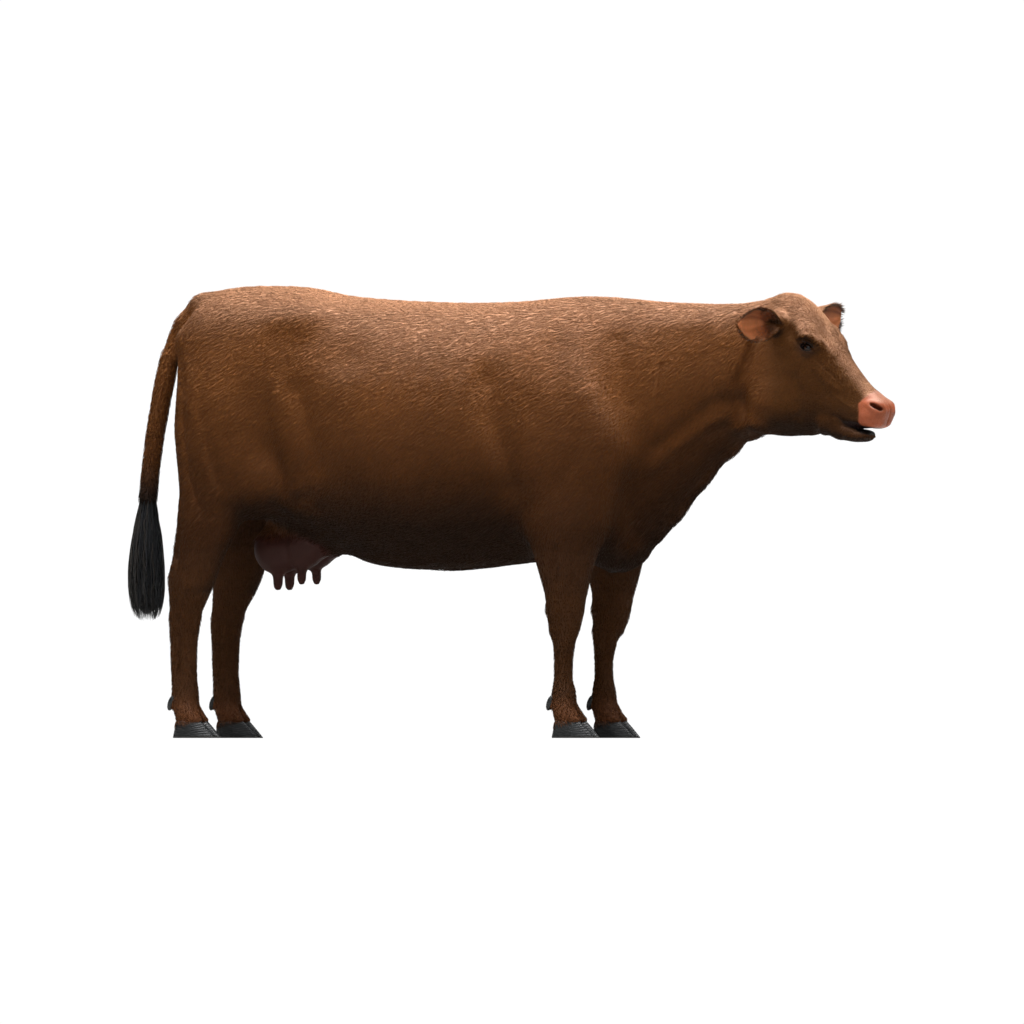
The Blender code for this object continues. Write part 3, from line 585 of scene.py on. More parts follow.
# bony points, and the hollows between them, in mm: the middle, the reach along each axis and
# the height; then the turn about Y in degrees
for *place, turned in (
    (-620, 205, 1292, 72, 54, 48, 7, 10),           # hook bone
    (-1050, 82, 1232, 36, 36, 42, 12, 0),           # pin bone
    (-1010, 0, 1352, 90, 30, 40, 6, 15),            # tail head
    (-1030, 60, 1300, 50, 26, 50, -10, 0),          # beside the tail head
    (-850, 240, 1225, 110, 70, 70, -6, 10),         # between hook and pin
    (-450, 310, 1205, 95, 80, 85, -15, -12),        # hollow of the flank
    (-400, 200, 1330, 190, 70, 26, 6, 0),           # edge of the loin
    (-130, 330, 900, 260, 90, 190, 6, 0),           # spring of the ribs
    (-760, 235, 800, 65, 50, 70, 8, 20),            # stifle
    (-900, 255, 1030, 100, 60, 130, 7, 0),          # thigh
    (230, 0, 1372, 150, 28, 40, 4, 0),              # crest of the withers
    (190, 245, 890, 90, 50, 90, 12, 20),            # triceps
    (425, 165, 905, 50, 50, 55, 9, 0),              # point of the shoulder
    (160, 225, 660, 35, 40, 42, 7, 0),              # point of the elbow
    (430, 0, 640, 80, 34, 80, 8, -35),              # keel of the brisket
    (-180, 0, 515, 130, 16, 40, 7, 0),              # fold at the navel
    (262, 235, 560, 50, 30, 70, 4, 0),              # muscle of the forearm
    (262, 190, 398, 45, 50, 34, 3, 0),              # knee
    (200, 188, 400, 16, 22, 20, 7, 0),              # bone behind the knee
    (240, 168, 136, 40, 50, 22, 3, 0),              # fetlock
    (-1080, 187, 498, 22, 30, 26, 10, 0),           # point of the hock
    (-995, 226, 470, 26, 20, 26, 5, 0),             # outside of the hock
    (-995, 146, 470, 26, 20, 26, 4, 0),             # inside of the hock
    (-1022, 173, 136, 40, 50, 22, 3, 0),            # hind fetlock
    (975, 98, 1262, 30, 40, 26, -6, 0),             # hollow behind the brow
    (1150, 60, 1060, 40, 40, 30, -3, 40),           # hollow of the muzzle's side
    (1195, 56, 992, 22, 30, 18, 3, 0),              # upper lip
    (1262, 0, 1000, 30, 4.5, 34, -3.4, -20),        # groove of the nose
    (1240, 26, 980, 30, 18, 16, 2.2, 0),            # front of the upper lip
    (935, 0, 1385, 60, 80, 40, -7, 0),              # poll
    (1035, 0, 1290, 50, 50, 60, -3, 0),             # dish of the forehead
    (1070, 72, 1225, 22, 26, 36, -5, 0),            # inner side of the brow
    (-520, 0, 572, 55, 160, 34, -13, 0),            # before the udder
    (-620, 80, 548, 42, 90, 28, -8, 0),
    (862, 125, 1070, 60, 60, 100, 11, -12),         # corner of the jaw
    (1058, 0, 932, 26, 70, 20, -7, 0),              # behind the chin
    (1010, 0, 945, 30, 60, 20, 2, 0),
    (802, 40, 955, 30, 50, 30, 4, 0),               # sides of the throat
    (250, 167, 75, 90, 90, 30, 4, 0),               # fore coronet
    (-1010, 173, 75, 90, 90, 30, 4, 0),             # hind coronet
    (470, 0, 1370, 300, 60, 50, 4, 0),              # crest of the neck
    (-940, 200, 600, 40, 40, 120, 4, 10),           # front of the gaskin
    (-985, 180, 330, 30, 30, 100, 3, 0),            # front of the hind cannon
    (-1055, 180, 300, 20, 30, 160, 7, 0),           # hind tendons
    (300, 180, 500, 30, 50, 140, 7, 0),             # front of the forearm
    (-1205, 0, 1180, 40, 40, 90, 5, 0),             # root of the tail, behind
    (-1168, 0, 1282, 44, 44, 56, 7, 0),
    (-1118, 0, 1322, 40, 44, 40, 13, 0),            # top of the tail's root
    (-1078, 130, 950, 40, 90, 160, 5, 0),           # back of the haunch
    (-1050, 145, 300, 24, 22, 150, 8, 0),           # inside of the hind tendons
    (-950, 190, 480, 45, 50, 80, 7, 0),             # front of the hock
    (190, 188, 340, 22, 35, 45, 8, 0),              # back of the knee
    (290, 205, 325, 28, 30, 75, 9, 0),              # front of the knee
    (330, 215, 500, 30, 40, 110, 4, 0),
    (930, 105, 1010, 70, 40, 60, 4, 0),             # cheek
):
    place = np.array(place) / 1000
    swell(place[:3], place[3:6], place[6], turned)

# edges of muscles, tendons, veins and wrinkles, in mm: x and z along each, its width and height
for *path, width, height in (
    (-1020, 1190, -1012, 1000, -985, 820, -930, 660, 20, -6),   # thigh
    (-930, 1200, -940, 1020, -900, 860, -870, 760, 18, -3),
    (-690, 1160, -660, 980, -630, 820, -590, 740, 36, 10),      # flank fold
    (-615, 1130, -570, 950, -515, 790, 44, -11),
    (270, 1290, 300, 1160, 345, 1020, 34, 4),                   # shoulder blade
    (190, 1260, 225, 1120, 270, 1010, 34, -3),
    (395, 1280, 430, 1140, 475, 990, 42, -6),
    (10, 1200, 45, 1000, 95, 860, 120, 700, 46, -14),           # behind the arm
    (360, 990, 300, 850, 240, 740, 18, -4),                     # above the arm
    (255, 620, 250, 540, 250, 455, 10, -6),                     # forearm
    (226, 350, 224, 260, 226, 170, 8, -6),                      # fore tendon
    (-1020, 690, -1034, 610, -1046, 535, 15, -9),               # before the hamstring
    (-1034, 400, -1036, 290, -1034, 175, 9, -6),                # hind tendon
    (-1000, 640, -1006, 560, -1010, 500, 12, -4),               # over the hock
    (500, 860, 600, 955, 700, 1030, 800, 1070, 24, -5),         # jugular groove
    (470, 800, 580, 900, 700, 980, 800, 1020, 20, 4),
    (480, 1290, 600, 1285, 740, 1290, 30, 4),                   # crest of the neck
    (978, 1150, 1000, 1070, 998, 1010, 980, 980, 16, -4),       # cheek muscle's edge
    (1040, 1165, 1080, 1115, 1125, 1070, 10, 3),                # cheek bone
    (1050, 1185, 1082, 1150, 1120, 1110, 4.5, -2.2),            # tear groove
    (1075, 1105, 1110, 1060, 1150, 1030, 1180, 1020, 5, 1.6),   # vein of the face
    (1090, 1004, 1110, 992, 1128, 976, 6, -1.6),                # corner of the mouth
    (876, 1285, 838, 1215, 804, 1110, 788, 985, 20, -16),       # behind the jaw
    (-722, 680, -718, 580, -716, 500, 14, -6),                  # between the quarters
):
    ridge(np.array(path).reshape(-1, 2) / 1000, width / 1000, height / 1000)

for i in range(7):                               # wrinkles of the neck, behind the cheek
    start = 0.770 - (0.040 + 0.010 * math.sin(5 * i)) * i
    sway = 0.016 * math.sin(2.3 * i)
    path = ((start + sway, 1.250 - 0.02 * i), (start - 0.020, 1.150),
            (start - 0.035 + sway, 1.030 - 0.016 * i))
    ridge(path, 0.0100, -0.0020 - 0.0014 * math.sin(1.7 * i))

x, y, z = plan.T
lean = (x + 0.28 * (1.25 - z) - 0.10 * (1.25 - z) ** 2) / 0.066
ribs = hump(-0.40, -0.30, -0.04, 0.06, x) * hump(0.70, 0.84, 1.12, 1.22, z)
rise += 0.0013 * np.cos(2 * math.pi * lean) * ribs * facing_side
spine = np.exp(-(y / 0.026) ** 2) * hump(-0.98, -0.90, 0.05, 0.20, x) * (z > 1.30)
rise += 0.0004 * np.cos(2 * math.pi * x / 0.052) * spine + 0.002 * spine
throat = np.exp(-(y / 0.016) ** 2) * ease(0.1, 0.5, -normals[:, 2])
throat *= hump(0.46, 0.54, 0.80, 0.88, x)
rise += 0.012 * throat * (1 + 0.25 * np.sin(x * 70))
quarters = np.exp(-(y / 0.011) ** 2) * hump(-0.88, -0.84, -0.60, -0.56, x) * (z < 0.60)
rise -= 0.008 * quarters
vein = 0.115 + 0.012 * np.sin(x * 26)
vein_run = np.exp(-((y - vein) / 0.011) ** 2) * hump(-0.56, -0.48, -0.02, 0.06, x) * (z < 0.60)
rise += 0.006 * vein_run
for leg_x, leg_y in LEGS.values():           # the cleft between the toes
    cleft = np.exp(-((y - leg_y) / 0.006) ** 2) * hump(0.02, 0.045, 0.085, 0.120, z)
    rise -= 0.009 * cleft * ease(0.0, 0.03, np.abs(x - leg_x - 0.02))
# the overhanging brow, and the folds over and under each eye
for side in EARS:
    out, along, up = in_eye(side, skin_points)
    under_brow = (out > -0.030) * np.exp(-((along - 0.002) / 0.036) ** 4)
    brow_line = 0.036 - 12 * along ** 2
    rise += 0.0065 * np.exp(-((up - brow_line) / 0.0095) ** 2) * under_brow
    rise -= 0.0050 * np.exp(-((up - brow_line * 0.56) / 0.0070) ** 2) * under_brow
    near_eye = (out > -0.012) * np.exp(-(along / 0.026) ** 4)
    for height, bow, width, amount in (
        (0.0195, 1.25, 0.0026, -0.0022), (0.0255, 1.45, 0.0030, 0.0016),
        (-0.0175, 0.95, 0.0026, -0.0018),
    ):
        line = height * (1 - 0.45 * (along / 0.030) ** 2 * bow)
        rise += amount * np.exp(-((up - line) / width) ** 2) * near_eye
for side in EARS:                                # folds along the cup of each ear
    along, far, around, radius, wall, angle = in_ear(side, skin_points)
    cup = (far < radius - 0.45 * wall) * (far < 0.12) * hump(0.22, 0.36, 0.72, 0.92, along)
    off_rim = 1 - ease(0.6, 0.95, np.abs(around) / angle)
    rise += 0.0016 * np.cos(around * EAR_FOLDS + 0.6) * cup * off_rim
skin_points += normals * rise[:, None]
hide.clear_geometry()
fill_mesh(hide, skin_points, skin_quads)

SKIN_TRIANGLES = 190000
worked = bpy.data.objects.new("hide worked", hide)
bpy.context.scene.collection.objects.link(worked)
thin = worked.modifiers.new("thin out", "DECIMATE")
thin.ratio = SKIN_TRIANGLES / (2 * len(skin_quads))
thin.use_collapse_triangulate = True
graph = bpy.context.evaluated_depsgraph_get()
skin_mesh = bpy.data.meshes.new_from_object(worked.evaluated_get(graph))
bpy.data.objects.remove(worked)
bpy.data.meshes.remove(hide)
smoothed(skin_mesh)

# the hide's colours and where it is bare, worked out from place alone, for the coat as well
# the back colour is a painted highlight on faces that turn up, the belly colour is painted shade on
# faces that turn down, and the low and leg colours are darker hair with painted shade in them
HAIR = {
    "side": "#663c19", "back": "#8a6247", "low": "#331b08", "leg": "#41240a", "face": "#52300f",
    "eye ring": "#331c0c", "tail end": "#1f140e", "pastern": "#5c351a", "belly": "#180b03",
}
# the pale top of the nose is a painted highlight, the ear's dark cup colour is painted shade, the
# nose's darker mottle carries painted shade, and the mouth, udder and teats are dark skin deepened
# with painted shade
BARE = {
    "nose top highlight": "#9a6d59", "nose": "#a5593c", "nose mottle and shade": "#8a4629", "lip": "#17100e",
    "mouth": "#21100e", "ear cup shade": "#44190c", "nostril": "#3b1b14", "lid": "#140d0b",
    "ear": "#d98555", "udder": "#2d0e06", "teat": "#321007",
}
HAIR, BARE = ({name: linear(shade) for name, shade in hues.items()} for hues in (HAIR, BARE))


def ripple(points, wave, seed):
    """A soft pattern in space, from -1 to 1: a few crossed waves of about this length."""
    rng = np.random.default_rng(seed)
    out = np.zeros(len(points))
    for _ in range(6):
        way = rng.normal(size=3)
        way /= np.linalg.norm(way)
        length = wave * rng.uniform(0.7, 1.5)
        out += np.sin(points @ way * 2 * math.pi / length + rng.uniform(0, 7))
    return out / 6


def markings(points, normals):
    """Colour of the hide at these places, with painted highlight on faces that turn up and painted
    shade low down and underneath, and how bare it is there, 0 to 1.
    """
    plan = points - SHIFT
    x, y, z = plan[:, 0], np.abs(plan[:, 1]), plan[:, 2]
    blotch = ripple(points, 0.16, 3)

    def lay(colour, over, share):
        return colour + (over - colour) * share[:, None]

    colour = np.tile(HAIR["side"], (len(points), 1))
    # painted highlight: faces that turn up take the paler back colour, as where the overhead light
    # falls
    colour = lay(colour, HAIR["back"], ease(0.2, 0.9, normals[:, 2]))
    # darker towards the ground: the hair there is darker, with painted shade laid into it
    colour = lay(colour, HAIR["low"], (1 - ease(0.55, 1.16, z + 0.04 * blotch)) * 0.85)
    colour = lay(colour, HAIR["leg"], 1 - ease(0.45, 0.66, z))
    colour = lay(colour, HAIR["face"], ease(0.86, 0.94, x) * 0.8)
    # painted highlight on the upper faces of the head as well
    colour = lay(colour, HAIR["back"], ease(0.86, 0.94, x) * ease(0.15, 0.70, normals[:, 2]) * 0.95)
    # the lower head darker: darker hair with painted shade in it
    colour = lay(colour, HAIR["low"], ease(0.86, 0.94, x) * (1 - ease(0.95, 1.05, z)) * 0.6)
    # painted shade: faces that turn down, under the belly, neck and head, are darkened almost to
    # black
    colour = lay(colour, HAIR["belly"], ease(0.05, 0.65, -normals[:, 2]) * (z > 0.45) * 0.8)
    colour = lay(colour, HAIR["pastern"], 1 - ease(0.06, 0.16, z))
    tail = ease(1.105, 1.125, -x) * (1 - ease(0.73, 0.88, z))
    colour = lay(colour, HAIR["tail end"], tail)
    colour = colour * (1 + 0.10 * blotch + 0.06 * ripple(points, 0.05, 8))[:, None]

    bare = np.zeros(len(points))
    wave = 0.003 * ripple(points, 0.02, 5) + 0.006 * ripple(points, 0.07, 15)
    bag = hump(-0.900, -0.885, -0.600, -0.560, x + wave) * (1 - ease(0.615, 0.650, z + wave)) * (
        1 - ease(0.105, 0.125, y))
    # the udder and teats: dark reddish skin, deepened with painted shade
    colour = lay(colour, BARE["udder"], bag)
    colour = lay(colour, BARE["teat"], bag * (1 - ease(0.500, 0.525, z)))
    bare = np.maximum(bare, 0.35 * bag)
    for side in EARS:
        along, far, around, radius, wall, angle = in_ear(side, points)
        facing = normals @ ear_axes(side)[2]
        cup = (far < radius - 0.45 * wall) * hump(0.20, 0.32, 1.0, 1.1, along) * (far < 0.12)
        cup = cup * ease(-0.5, 0.1, facing) * (points[:, 1] * (1 if side == "left" else -1) > 0.08)
        rim = ease(0.60, 0.98, np.abs(around) / angle)
        colour = lay(colour, BARE["ear"], cup * (1 - 0.75 * rim))
        # painted shade in the ear's cup: darker in its upper half, towards its root and in its
        # folds
        upper = ease(-0.15, 0.45, around * np.sign(ear_axes(side)[3][2]))
        deep = cup * np.clip((1 - ease(0.22, 0.42, along)) * 0.60 + 0.62 * upper
                             + 0.15 * np.cos(around * EAR_FOLDS + 3.7) ** 2, 0, 0.85)
        colour = lay(colour, BARE["ear cup shade"], deep)
        bare = np.maximum(bare, 0.75 * cup * (1 - rim))
        out, across, up = in_eye(side, points)
        close = np.sqrt((across / 1.5) ** 2 + up ** 2 + out ** 2 * 0.15)
        same = np.abs(points[:, 1] - eye_axes(side)[0][1]) < 0.06
        colour = lay(colour, HAIR["eye ring"], (1 - ease(0.017, 0.030, close)) * same * 0.7)
        rim = (1 - ease(0.0128, 0.0152, close)) * same
        colour = lay(colour, BARE["lid"], rim)
        bare = np.maximum(bare, rim)
    slot = mouth_slot(x, z)
    nose = ease(-0.004, 0.004, nose_ahead(points[:, 0], points[:, 2]) + wave)
    nose *= ease(-0.002, 0.002, slot)
    # the nose pad: mottled darker pigment, with painted shade on its lower faces
    pad = lay(np.tile(BARE["nose"], (len(points), 1)), BARE["nose mottle and shade"],
              0.5 + 0.5 * np.clip(ripple(points, 0.03, 6) - 0.2 * normals[:, 2], -1, 1))
    # painted highlight: the faces of the nose pad that turn up are paler
    pad = lay(pad, BARE["nose top highlight"], ease(0.35, 0.85, normals[:, 2]))
    colour = colour + (pad - colour) * nose[:, None]
    bare = np.maximum(bare, nose)
    hole = np.full(len(points), 9.0)
    left = np.stack([points[:, 0], np.abs(points[:, 1]), points[:, 2]], 1)
    for a, b, thick_a, thick_b in rods(NOSTRIL):
        hole = np.minimum(hole, segment(left, a, b, thick_a, thick_b))
        hole = np.minimum(hole, segment(left, a, a + INWARDS * 0.03, thick_a, thick_a * 0.6))
    colour = lay(colour, BARE["nostril"], 1 - ease(-0.0045, 0.0005, hole))
    # the slot of the mouth and the lips along it
    front = ease(1.108, 1.124, x)
    edge = 0.012 + 0.012 * ease(1.14, 1.19, x)
    front = front * ease(1.112, 1.150, x)
    lips = front * hump(-0.004, 0.002, 0.003, 0.008, slot + edge * (slot < 0)) * (1 - nose)
    lips = np.maximum(lips, (np.abs(slot) < 0.007 * ease(1.112, 1.150, x)) * (x > 1.1) * (1 - nose))
    lips = np.maximum(lips, front * (slot < 0) * (slot > -edge) * (1 - nose))
    colour = lay(colour, BARE["lip"], lips)
    # inside the mouth: dark flesh deepened to near black with painted shade in the slot
    inside = front * (1 - ease(0.008, 0.013, np.abs(slot))) * (1 - ease(0.036, 0.043, y))
    inside *= x < 1.21
    colour = lay(colour, BARE["mouth"], inside)
    bare = np.maximum(bare, np.maximum(lips, inside))
    return np.clip(colour, 0, 1), bare


def set_colour(mesh, name, colour):
    """Writes a colour for each point."""
    layer = mesh.attributes.new(name, "FLOAT_COLOR", "POINT")
    layer.data.foreach_set("color", np.c_[colour, np.ones(len(colour))].astype(np.float32).ravel())


def set_number(mesh, name, values):
    """Writes a number for each point."""
    layer = mesh.attributes.new(name, "FLOAT", "POINT")
    layer.data.foreach_set("value", np.asarray(values, np.float32))


def placed(name, mesh, material, slot, *nodes):
    """The finished piece, riding on the body and standing for these solids."""
    made = bpy.data.objects.new(name, mesh)
    bpy.context.scene.collection.objects.link(made)
    mesh.materials.clear()
    mesh.materials.append(material)
    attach(made, "root")
    if nodes:
        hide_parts(*nodes)
    return made


skin_points = read(skin_mesh.vertices, "co").astype(float)
skin_normals = read(skin_mesh.vertex_normals, "vector")
# the hide's colours carry its painted highlight and painted shade
hide_colour, hide_bare = markings(skin_points, skin_normals)
set_colour(skin_mesh, "hide", hide_colour)
set_number(skin_mesh, "bare", hide_bare)


def lines_along(look, stretch, detail, dark, light, turn=(0, 0, 0), **more):
    """Noise drawn out into fine lines, its cells per metre along each axis given, and a shade
    that runs from dark to light across them."""
    place = add_node(look, "ShaderNodeTexCoord")
    drawn = add_node(look, "ShaderNodeMapping", Vector=place.outputs["Object"], Scale=stretch,
                     Rotation=turn)
    lines = add_node(look, "ShaderNodeTexNoise", Vector=drawn.outputs[0], Scale=1.0,
                     Detail=detail, **more)
    shade = add_node(look, "ShaderNodeMapRange", Value=lines.outputs["Fac"], From_Min=0.3,
                     From_Max=0.7, To_Min=dark, To_Max=light)
    return lines.outputs["Fac"], shade.outputs[0]


def dress(look, shader, shade, relief=None, strength=0.0, depth=0.0):
    """The painted colour times a shade, and a relief of this depth in metres."""
    colour = add_node(look, "ShaderNodeAttribute", {"attribute_name": "hide"})
    tinted = add_node(look, "ShaderNodeVectorMath", {"operation": "SCALE"},
                      _0=colour.outputs["Color"], Scale=shade)
    look.node_tree.links.new(tinted.outputs[0], shader.inputs["Base Color"])
    if relief:
        bump = add_node(look, "ShaderNodeBump", Height=relief, Strength=strength, Distance=depth)
        look.node_tree.links.new(bump.outputs[0], shader.inputs["Normal"])


# Hide: skin with short hair lying on it. Matt and streaked where haired, and where it is bare,
# as on the nose and the udder, moist leather with a fine cobbled grain.
hide_look, shader = new_material("haired hide and bare skin", 0.7, 0.20)
place = add_node(hide_look, "ShaderNodeTexCoord").outputs["Object"]
bare = add_node(hide_look, "ShaderNodeAttribute", {"attribute_name": "bare"}).outputs["Fac"]
streaks, streak_shade = lines_along(hide_look, (170, 760, 600), 4.0, 0.70, 1.18, (0, 0.45, 0),
                                    Roughness=0.6)
mottle = add_node(hide_look, "ShaderNodeTexNoise", Vector=place, Scale=45.0, Detail=5.0,
                  Roughness=0.65)
mottle_shade = add_node(hide_look, "ShaderNodeMapRange", Value=mottle.outputs["Fac"],
                        From_Min=0.3, From_Max=0.7, To_Min=0.82, To_Max=1.14)
shade = add_node(hide_look, "ShaderNodeMix", {"data_type": "FLOAT"}, _0=bare, _2=streak_shade,
                 _3=mottle_shade.outputs[0])
gloss = add_node(hide_look, "ShaderNodeMapRange", Value=bare, To_Min=0.72, To_Max=0.36)
hide_look.node_tree.links.new(gloss.outputs[0], shader.inputs["Roughness"])
cobble = add_node(hide_look, "ShaderNodeTexVoronoi", {"feature": "DISTANCE_TO_EDGE"},
                  Vector=place, Scale=290.0)
grain = add_node(hide_look, "ShaderNodeMapRange", Value=cobble.outputs["Distance"],
                 From_Max=0.25, To_Max=1.0)
relief = add_node(hide_look, "ShaderNodeMix", {"data_type": "FLOAT"}, _0=bare, _2=streaks,
                  _3=grain.outputs[0])
dress(hide_look, shader, shade.outputs[0], relief.outputs[0], 0.55, 0.0012)
placed("skin", skin_mesh, hide_look, "coat", *FLESH)

# ---- The coat ----------------------------------------------------------------------------
# Short summer hair, 6 to 32 mm long. It grows in small clumps that lie flat and overlap like
# shingles: back from the face over neck and trunk, and down the legs and the tail.
TUFT_RING = np.array([(-0.5, -0.10), (0.5, -0.10), (0.0, 0.42)])      # across and up, in widths
TUFT_LEVELS = ((0.0, -0.25, 0.75, 0.0), (0.5, 0.62, 1.0, 0.35))     # ahead, up, size and bow
TUFT_FACES = np.array([
    (0, 2, 1), (0, 1, 4), (0, 4, 3), (1, 2, 5), (1, 5, 4), (2, 0, 3), (2, 3, 5),
    (3, 4, 6), (4, 5, 6), (5, 3, 6),
])
DRAWN = 2.6                  # roots drawn for each cell of the coat; most cells keep one
PATCH = 0.0015               # half of a tuft's patch on the map
WHORL = np.array((1.050, 0.0, 1.262))


def unit(rows):
    """The rows scaled to length 1."""
    return rows / np.maximum(np.linalg.norm(rows, axis=1, keepdims=True), 1e-9)


def lie_of(points, normals):
    """Which way the hair lies: unit rows along the hide."""
    plan = points - SHIFT
    x, z = plan[:, 0], plan[:, 2]
    side = np.sign(plan[:, 1])
    one = np.ones(len(points))
    down = ease(-0.2, 0.6, np.abs(normals[:, 1]))
    way = np.stack([-one, 0 * one, -0.15 - 0.75 * down], 1)
    under = ease(0.3, 0.8, -normals[:, 2]) * (z > 0.45)
    way += under[:, None] * np.stack([-0.4 * one, 0.35 * -side, 0.4 * one], 1)
    leg = 1 - ease(0.50, 0.78, z)
    fore = ease(0.09, 0.12, x) * (1 - ease(0.40, 0.46, x))
    leg *= np.maximum(fore, 1 - ease(-0.72, -0.60, x))
    way += (np.array((-0.10, 0, -1.0)) - way) * leg[:, None]
    rump = ease(0.98, 1.06, -x) * ease(0.3, 0.8, -normals[:, 0]) * (z > 0.45)
    way += (np.array((-0.2, 0, -1.0)) - way) * rump[:, None]
    tail = ease(1.10, 1.13, -x)
    way += (np.array((-0.2, 0, -1.0)) - way) * tail[:, None]
    head = ease(0.86, 0.93, x)
    cheek = np.stack([-0.75 * one, 0.1 * side, -0.65 * one], 1)
    fan = unit(plan - WHORL) * (1, 1.2, 1)
    front = ease(0.30, 0.65, normals @ np.array((0.80, 0, 0.60)))
    fan = cheek + (fan - cheek) * front[:, None]
    way += (fan - way) * head[:, None]
    for name in EARS:
        root, axis, facing, across = ear_axes(name)
        along, far, around, radius, wall, angle = in_ear(name, points)
        on = hump(0.12, 0.26, 1.05, 1.10, along) * (far < 0.11) * (side == np.sign(root[1]))
        out = axis + facing * 0.15 + across * (np.sin(around) * 0.35)[:, None]
        way += (out - way) * on[:, None]
    swirl = 0.20 * ripple(points, 0.11, 21)
    way = unit(way) + np.cross(normals, unit(way)) * swirl[:, None]
    return unit(way - normals * (way * normals).sum(1)[:, None])


def build_tufts(name, roots, normals, lies, long, wide, high, colours, chart, seed):
    """One mesh of closed three-sided tufts: a root ring, a middle ring and a tip each."""
    rng = np.random.default_rng(seed)
    count = len(roots)
    turn = rng.normal(0, 0.13, count)
    across = np.cross(normals, lies)
    lies = lies * np.cos(turn)[:, None] + across * np.sin(turn)[:, None]
    across = np.cross(normals, lies)
    long = long * rng.uniform(0.75, 1.25, count)
    wide = wide * rng.uniform(0.75, 1.25, count)
    high = high * rng.uniform(0.65, 1.25, count)
    bend = rng.normal(0, 0.10, count) * long
    points = np.empty((count, 7, 3))
    for ring, (forward, lift, size, bow) in enumerate(TUFT_LEVELS):
        middle = roots + lies * (long * forward)[:, None] + normals * (high * lift)[:, None]
        middle = middle + across * (bend * bow)[:, None]
        for k, (a, b) in enumerate(TUFT_RING):
            spread = across * (wide * a * size)[:, None]
            points[:, ring * 3 + k] = middle + spread + normals * (wide * b * size * 0.55)[:, None]
    tip = roots + lies * long[:, None] + normals * (high * 0.72)[:, None]
    points[:, 6] = tip + across * bend[:, None]
    faces = (np.arange(count)[:, None, None] * 7 + TUFT_FACES).reshape(-1, 3)
    mesh = bpy.data.meshes.new(name)
    fill_mesh(mesh, points.reshape(-1, 3), faces)
    tone = rng.uniform(0.90, 1.10, count)
    tone = tone[:, None] * np.array((0.84, 0.84, 0.88, 0.98, 0.98, 1.02, 1.08))
    set_colour(mesh, "hide", np.clip((colours[:, None, :] * tone[..., None]).reshape(-1, 3), 0, 1))
    spots = np.array([(-1, -1), (0, -1), (1, -1), (-1, 0), (0, 0), (1, 0), (0, 1)]) * PATCH
    uv = (chart[:, None, :] + spots[None]).reshape(-1, 2)
    layer = mesh.uv_layers.new(name="OFBake")
    layer.data.foreach_set("uv", uv[faces.ravel()].astype(np.float32).ravel())
    return mesh


def around_chart(points, low, high, middle_z):
    """An unwrap of a barrel along X: place along it, and the angle about its middle."""
    along = (points[:, 0] - low) / (high - low)
    angle = np.arctan2(points[:, 1], points[:, 2] - middle_z) / (2 * math.pi) + 0.5
    return 0.01 + 0.98 * np.stack([np.clip(along, 0, 1), angle], 1)


def upright_chart(points, centres, low, high):
    """An unwrap of upright limbs, one strip each: the angle about the limb, and height."""
    gaps = np.stack([np.hypot(points[:, 0] - cx, points[:, 1] - cy) for cx, cy in centres])
    which = gaps.argmin(0)
    cx, cy = np.array(centres)[which].T
    angle = np.arctan2(points[:, 1] - cy, points[:, 0] - cx) / (2 * math.pi) + 0.5
    strip = 0.98 / len(centres)
    along = np.clip((points[:, 2] - low) / (high - low), 0, 1)
    return np.stack([0.01 + strip * (which + 0.02 + 0.96 * angle), 0.01 + 0.98 * along], 1)


triangles = read(skin_mesh.loops, "vertex_index", np.int32, 1).reshape(-1, 3)
corners = skin_points[triangles]
edges = corners[:, 1:] - corners[:, :1]
face_area = np.linalg.norm(np.cross(edges[:, 0], edges[:, 1]), axis=1) / 2
face_middle = corners.mean(1) - SHIFT


def strewn(where, gap, seed):
    """Roots spread evenly over the faces where a mask holds, about a gap apart."""
    rng = np.random.default_rng(seed)
    chosen = np.nonzero(where)[0]
    share = np.cumsum(face_area[chosen])
    count = int(share[-1] / gap ** 2 * DRAWN)
    picks = chosen[np.searchsorted(share, rng.uniform(0, share[-1], count))]
    a, b = rng.uniform(0, 1, (2, count))
    flip = a + b > 1
    a[flip], b[flip] = 1 - a[flip], 1 - b[flip]
    weights = np.stack([1 - a - b, a, b], 1)[..., None]
    roots = (corners[picks] * weights).sum(1)
    normals = unit((skin_normals[triangles[picks]] * weights).sum(1))
    cell = np.floor(roots / gap * 0.86 + 1000).astype(np.int64)
    key = (cell[:, 0] * 4096 + cell[:, 1]) * 4096 + cell[:, 2]
    first = np.unique(key, return_index=True)[1]
    return roots[first], normals[first]


FX, FY, FZ = face_middle.T
near_eye = np.zeros(len(FX), bool)
for side in EARS:
    out, along, up = in_eye(side, face_middle + SHIFT)
    near_eye |= (np.sqrt((along / 1.45) ** 2 + up ** 2) < 0.0158) & (np.abs(out) < 0.04)
face_bare = hide_bare[triangles].mean(1) > 0.30
is_hoof = (FZ < 0.1) & (over_coronet(face_middle[:, 0] + SHIFT[0], FZ) < 0.004)
is_switch = (FX < -1.10) & (FZ < 0.735)
in_mouth = (FX > 1.10) & (np.abs(mouth_slot(FX, FZ)) < 0.013) & (np.abs(FY) < 0.045)
haired = ~(near_eye | face_bare | is_hoof | is_switch | in_mouth)
is_tail = (FX < -1.115) & (np.abs(FY) < 0.05)
is_leg = (FZ < 0.60) & ~is_tail & (np.abs(FY) > 0.07) & ((FX < -0.70) | ((FX > 0.08) & (FX < 0.46)))
is_head = FX > 0.885
is_neck = (FX > 0.46) & ~is_head
is_trunk = ~(is_tail | is_leg | is_head | is_neck)
is_flank = (FZ >= 0.82) & (FZ < 1.08)

LEG_CENTRES = [(x + SHIFT[0], y) for x in (0.250, -1.000) for y in (0.175, -0.175)]
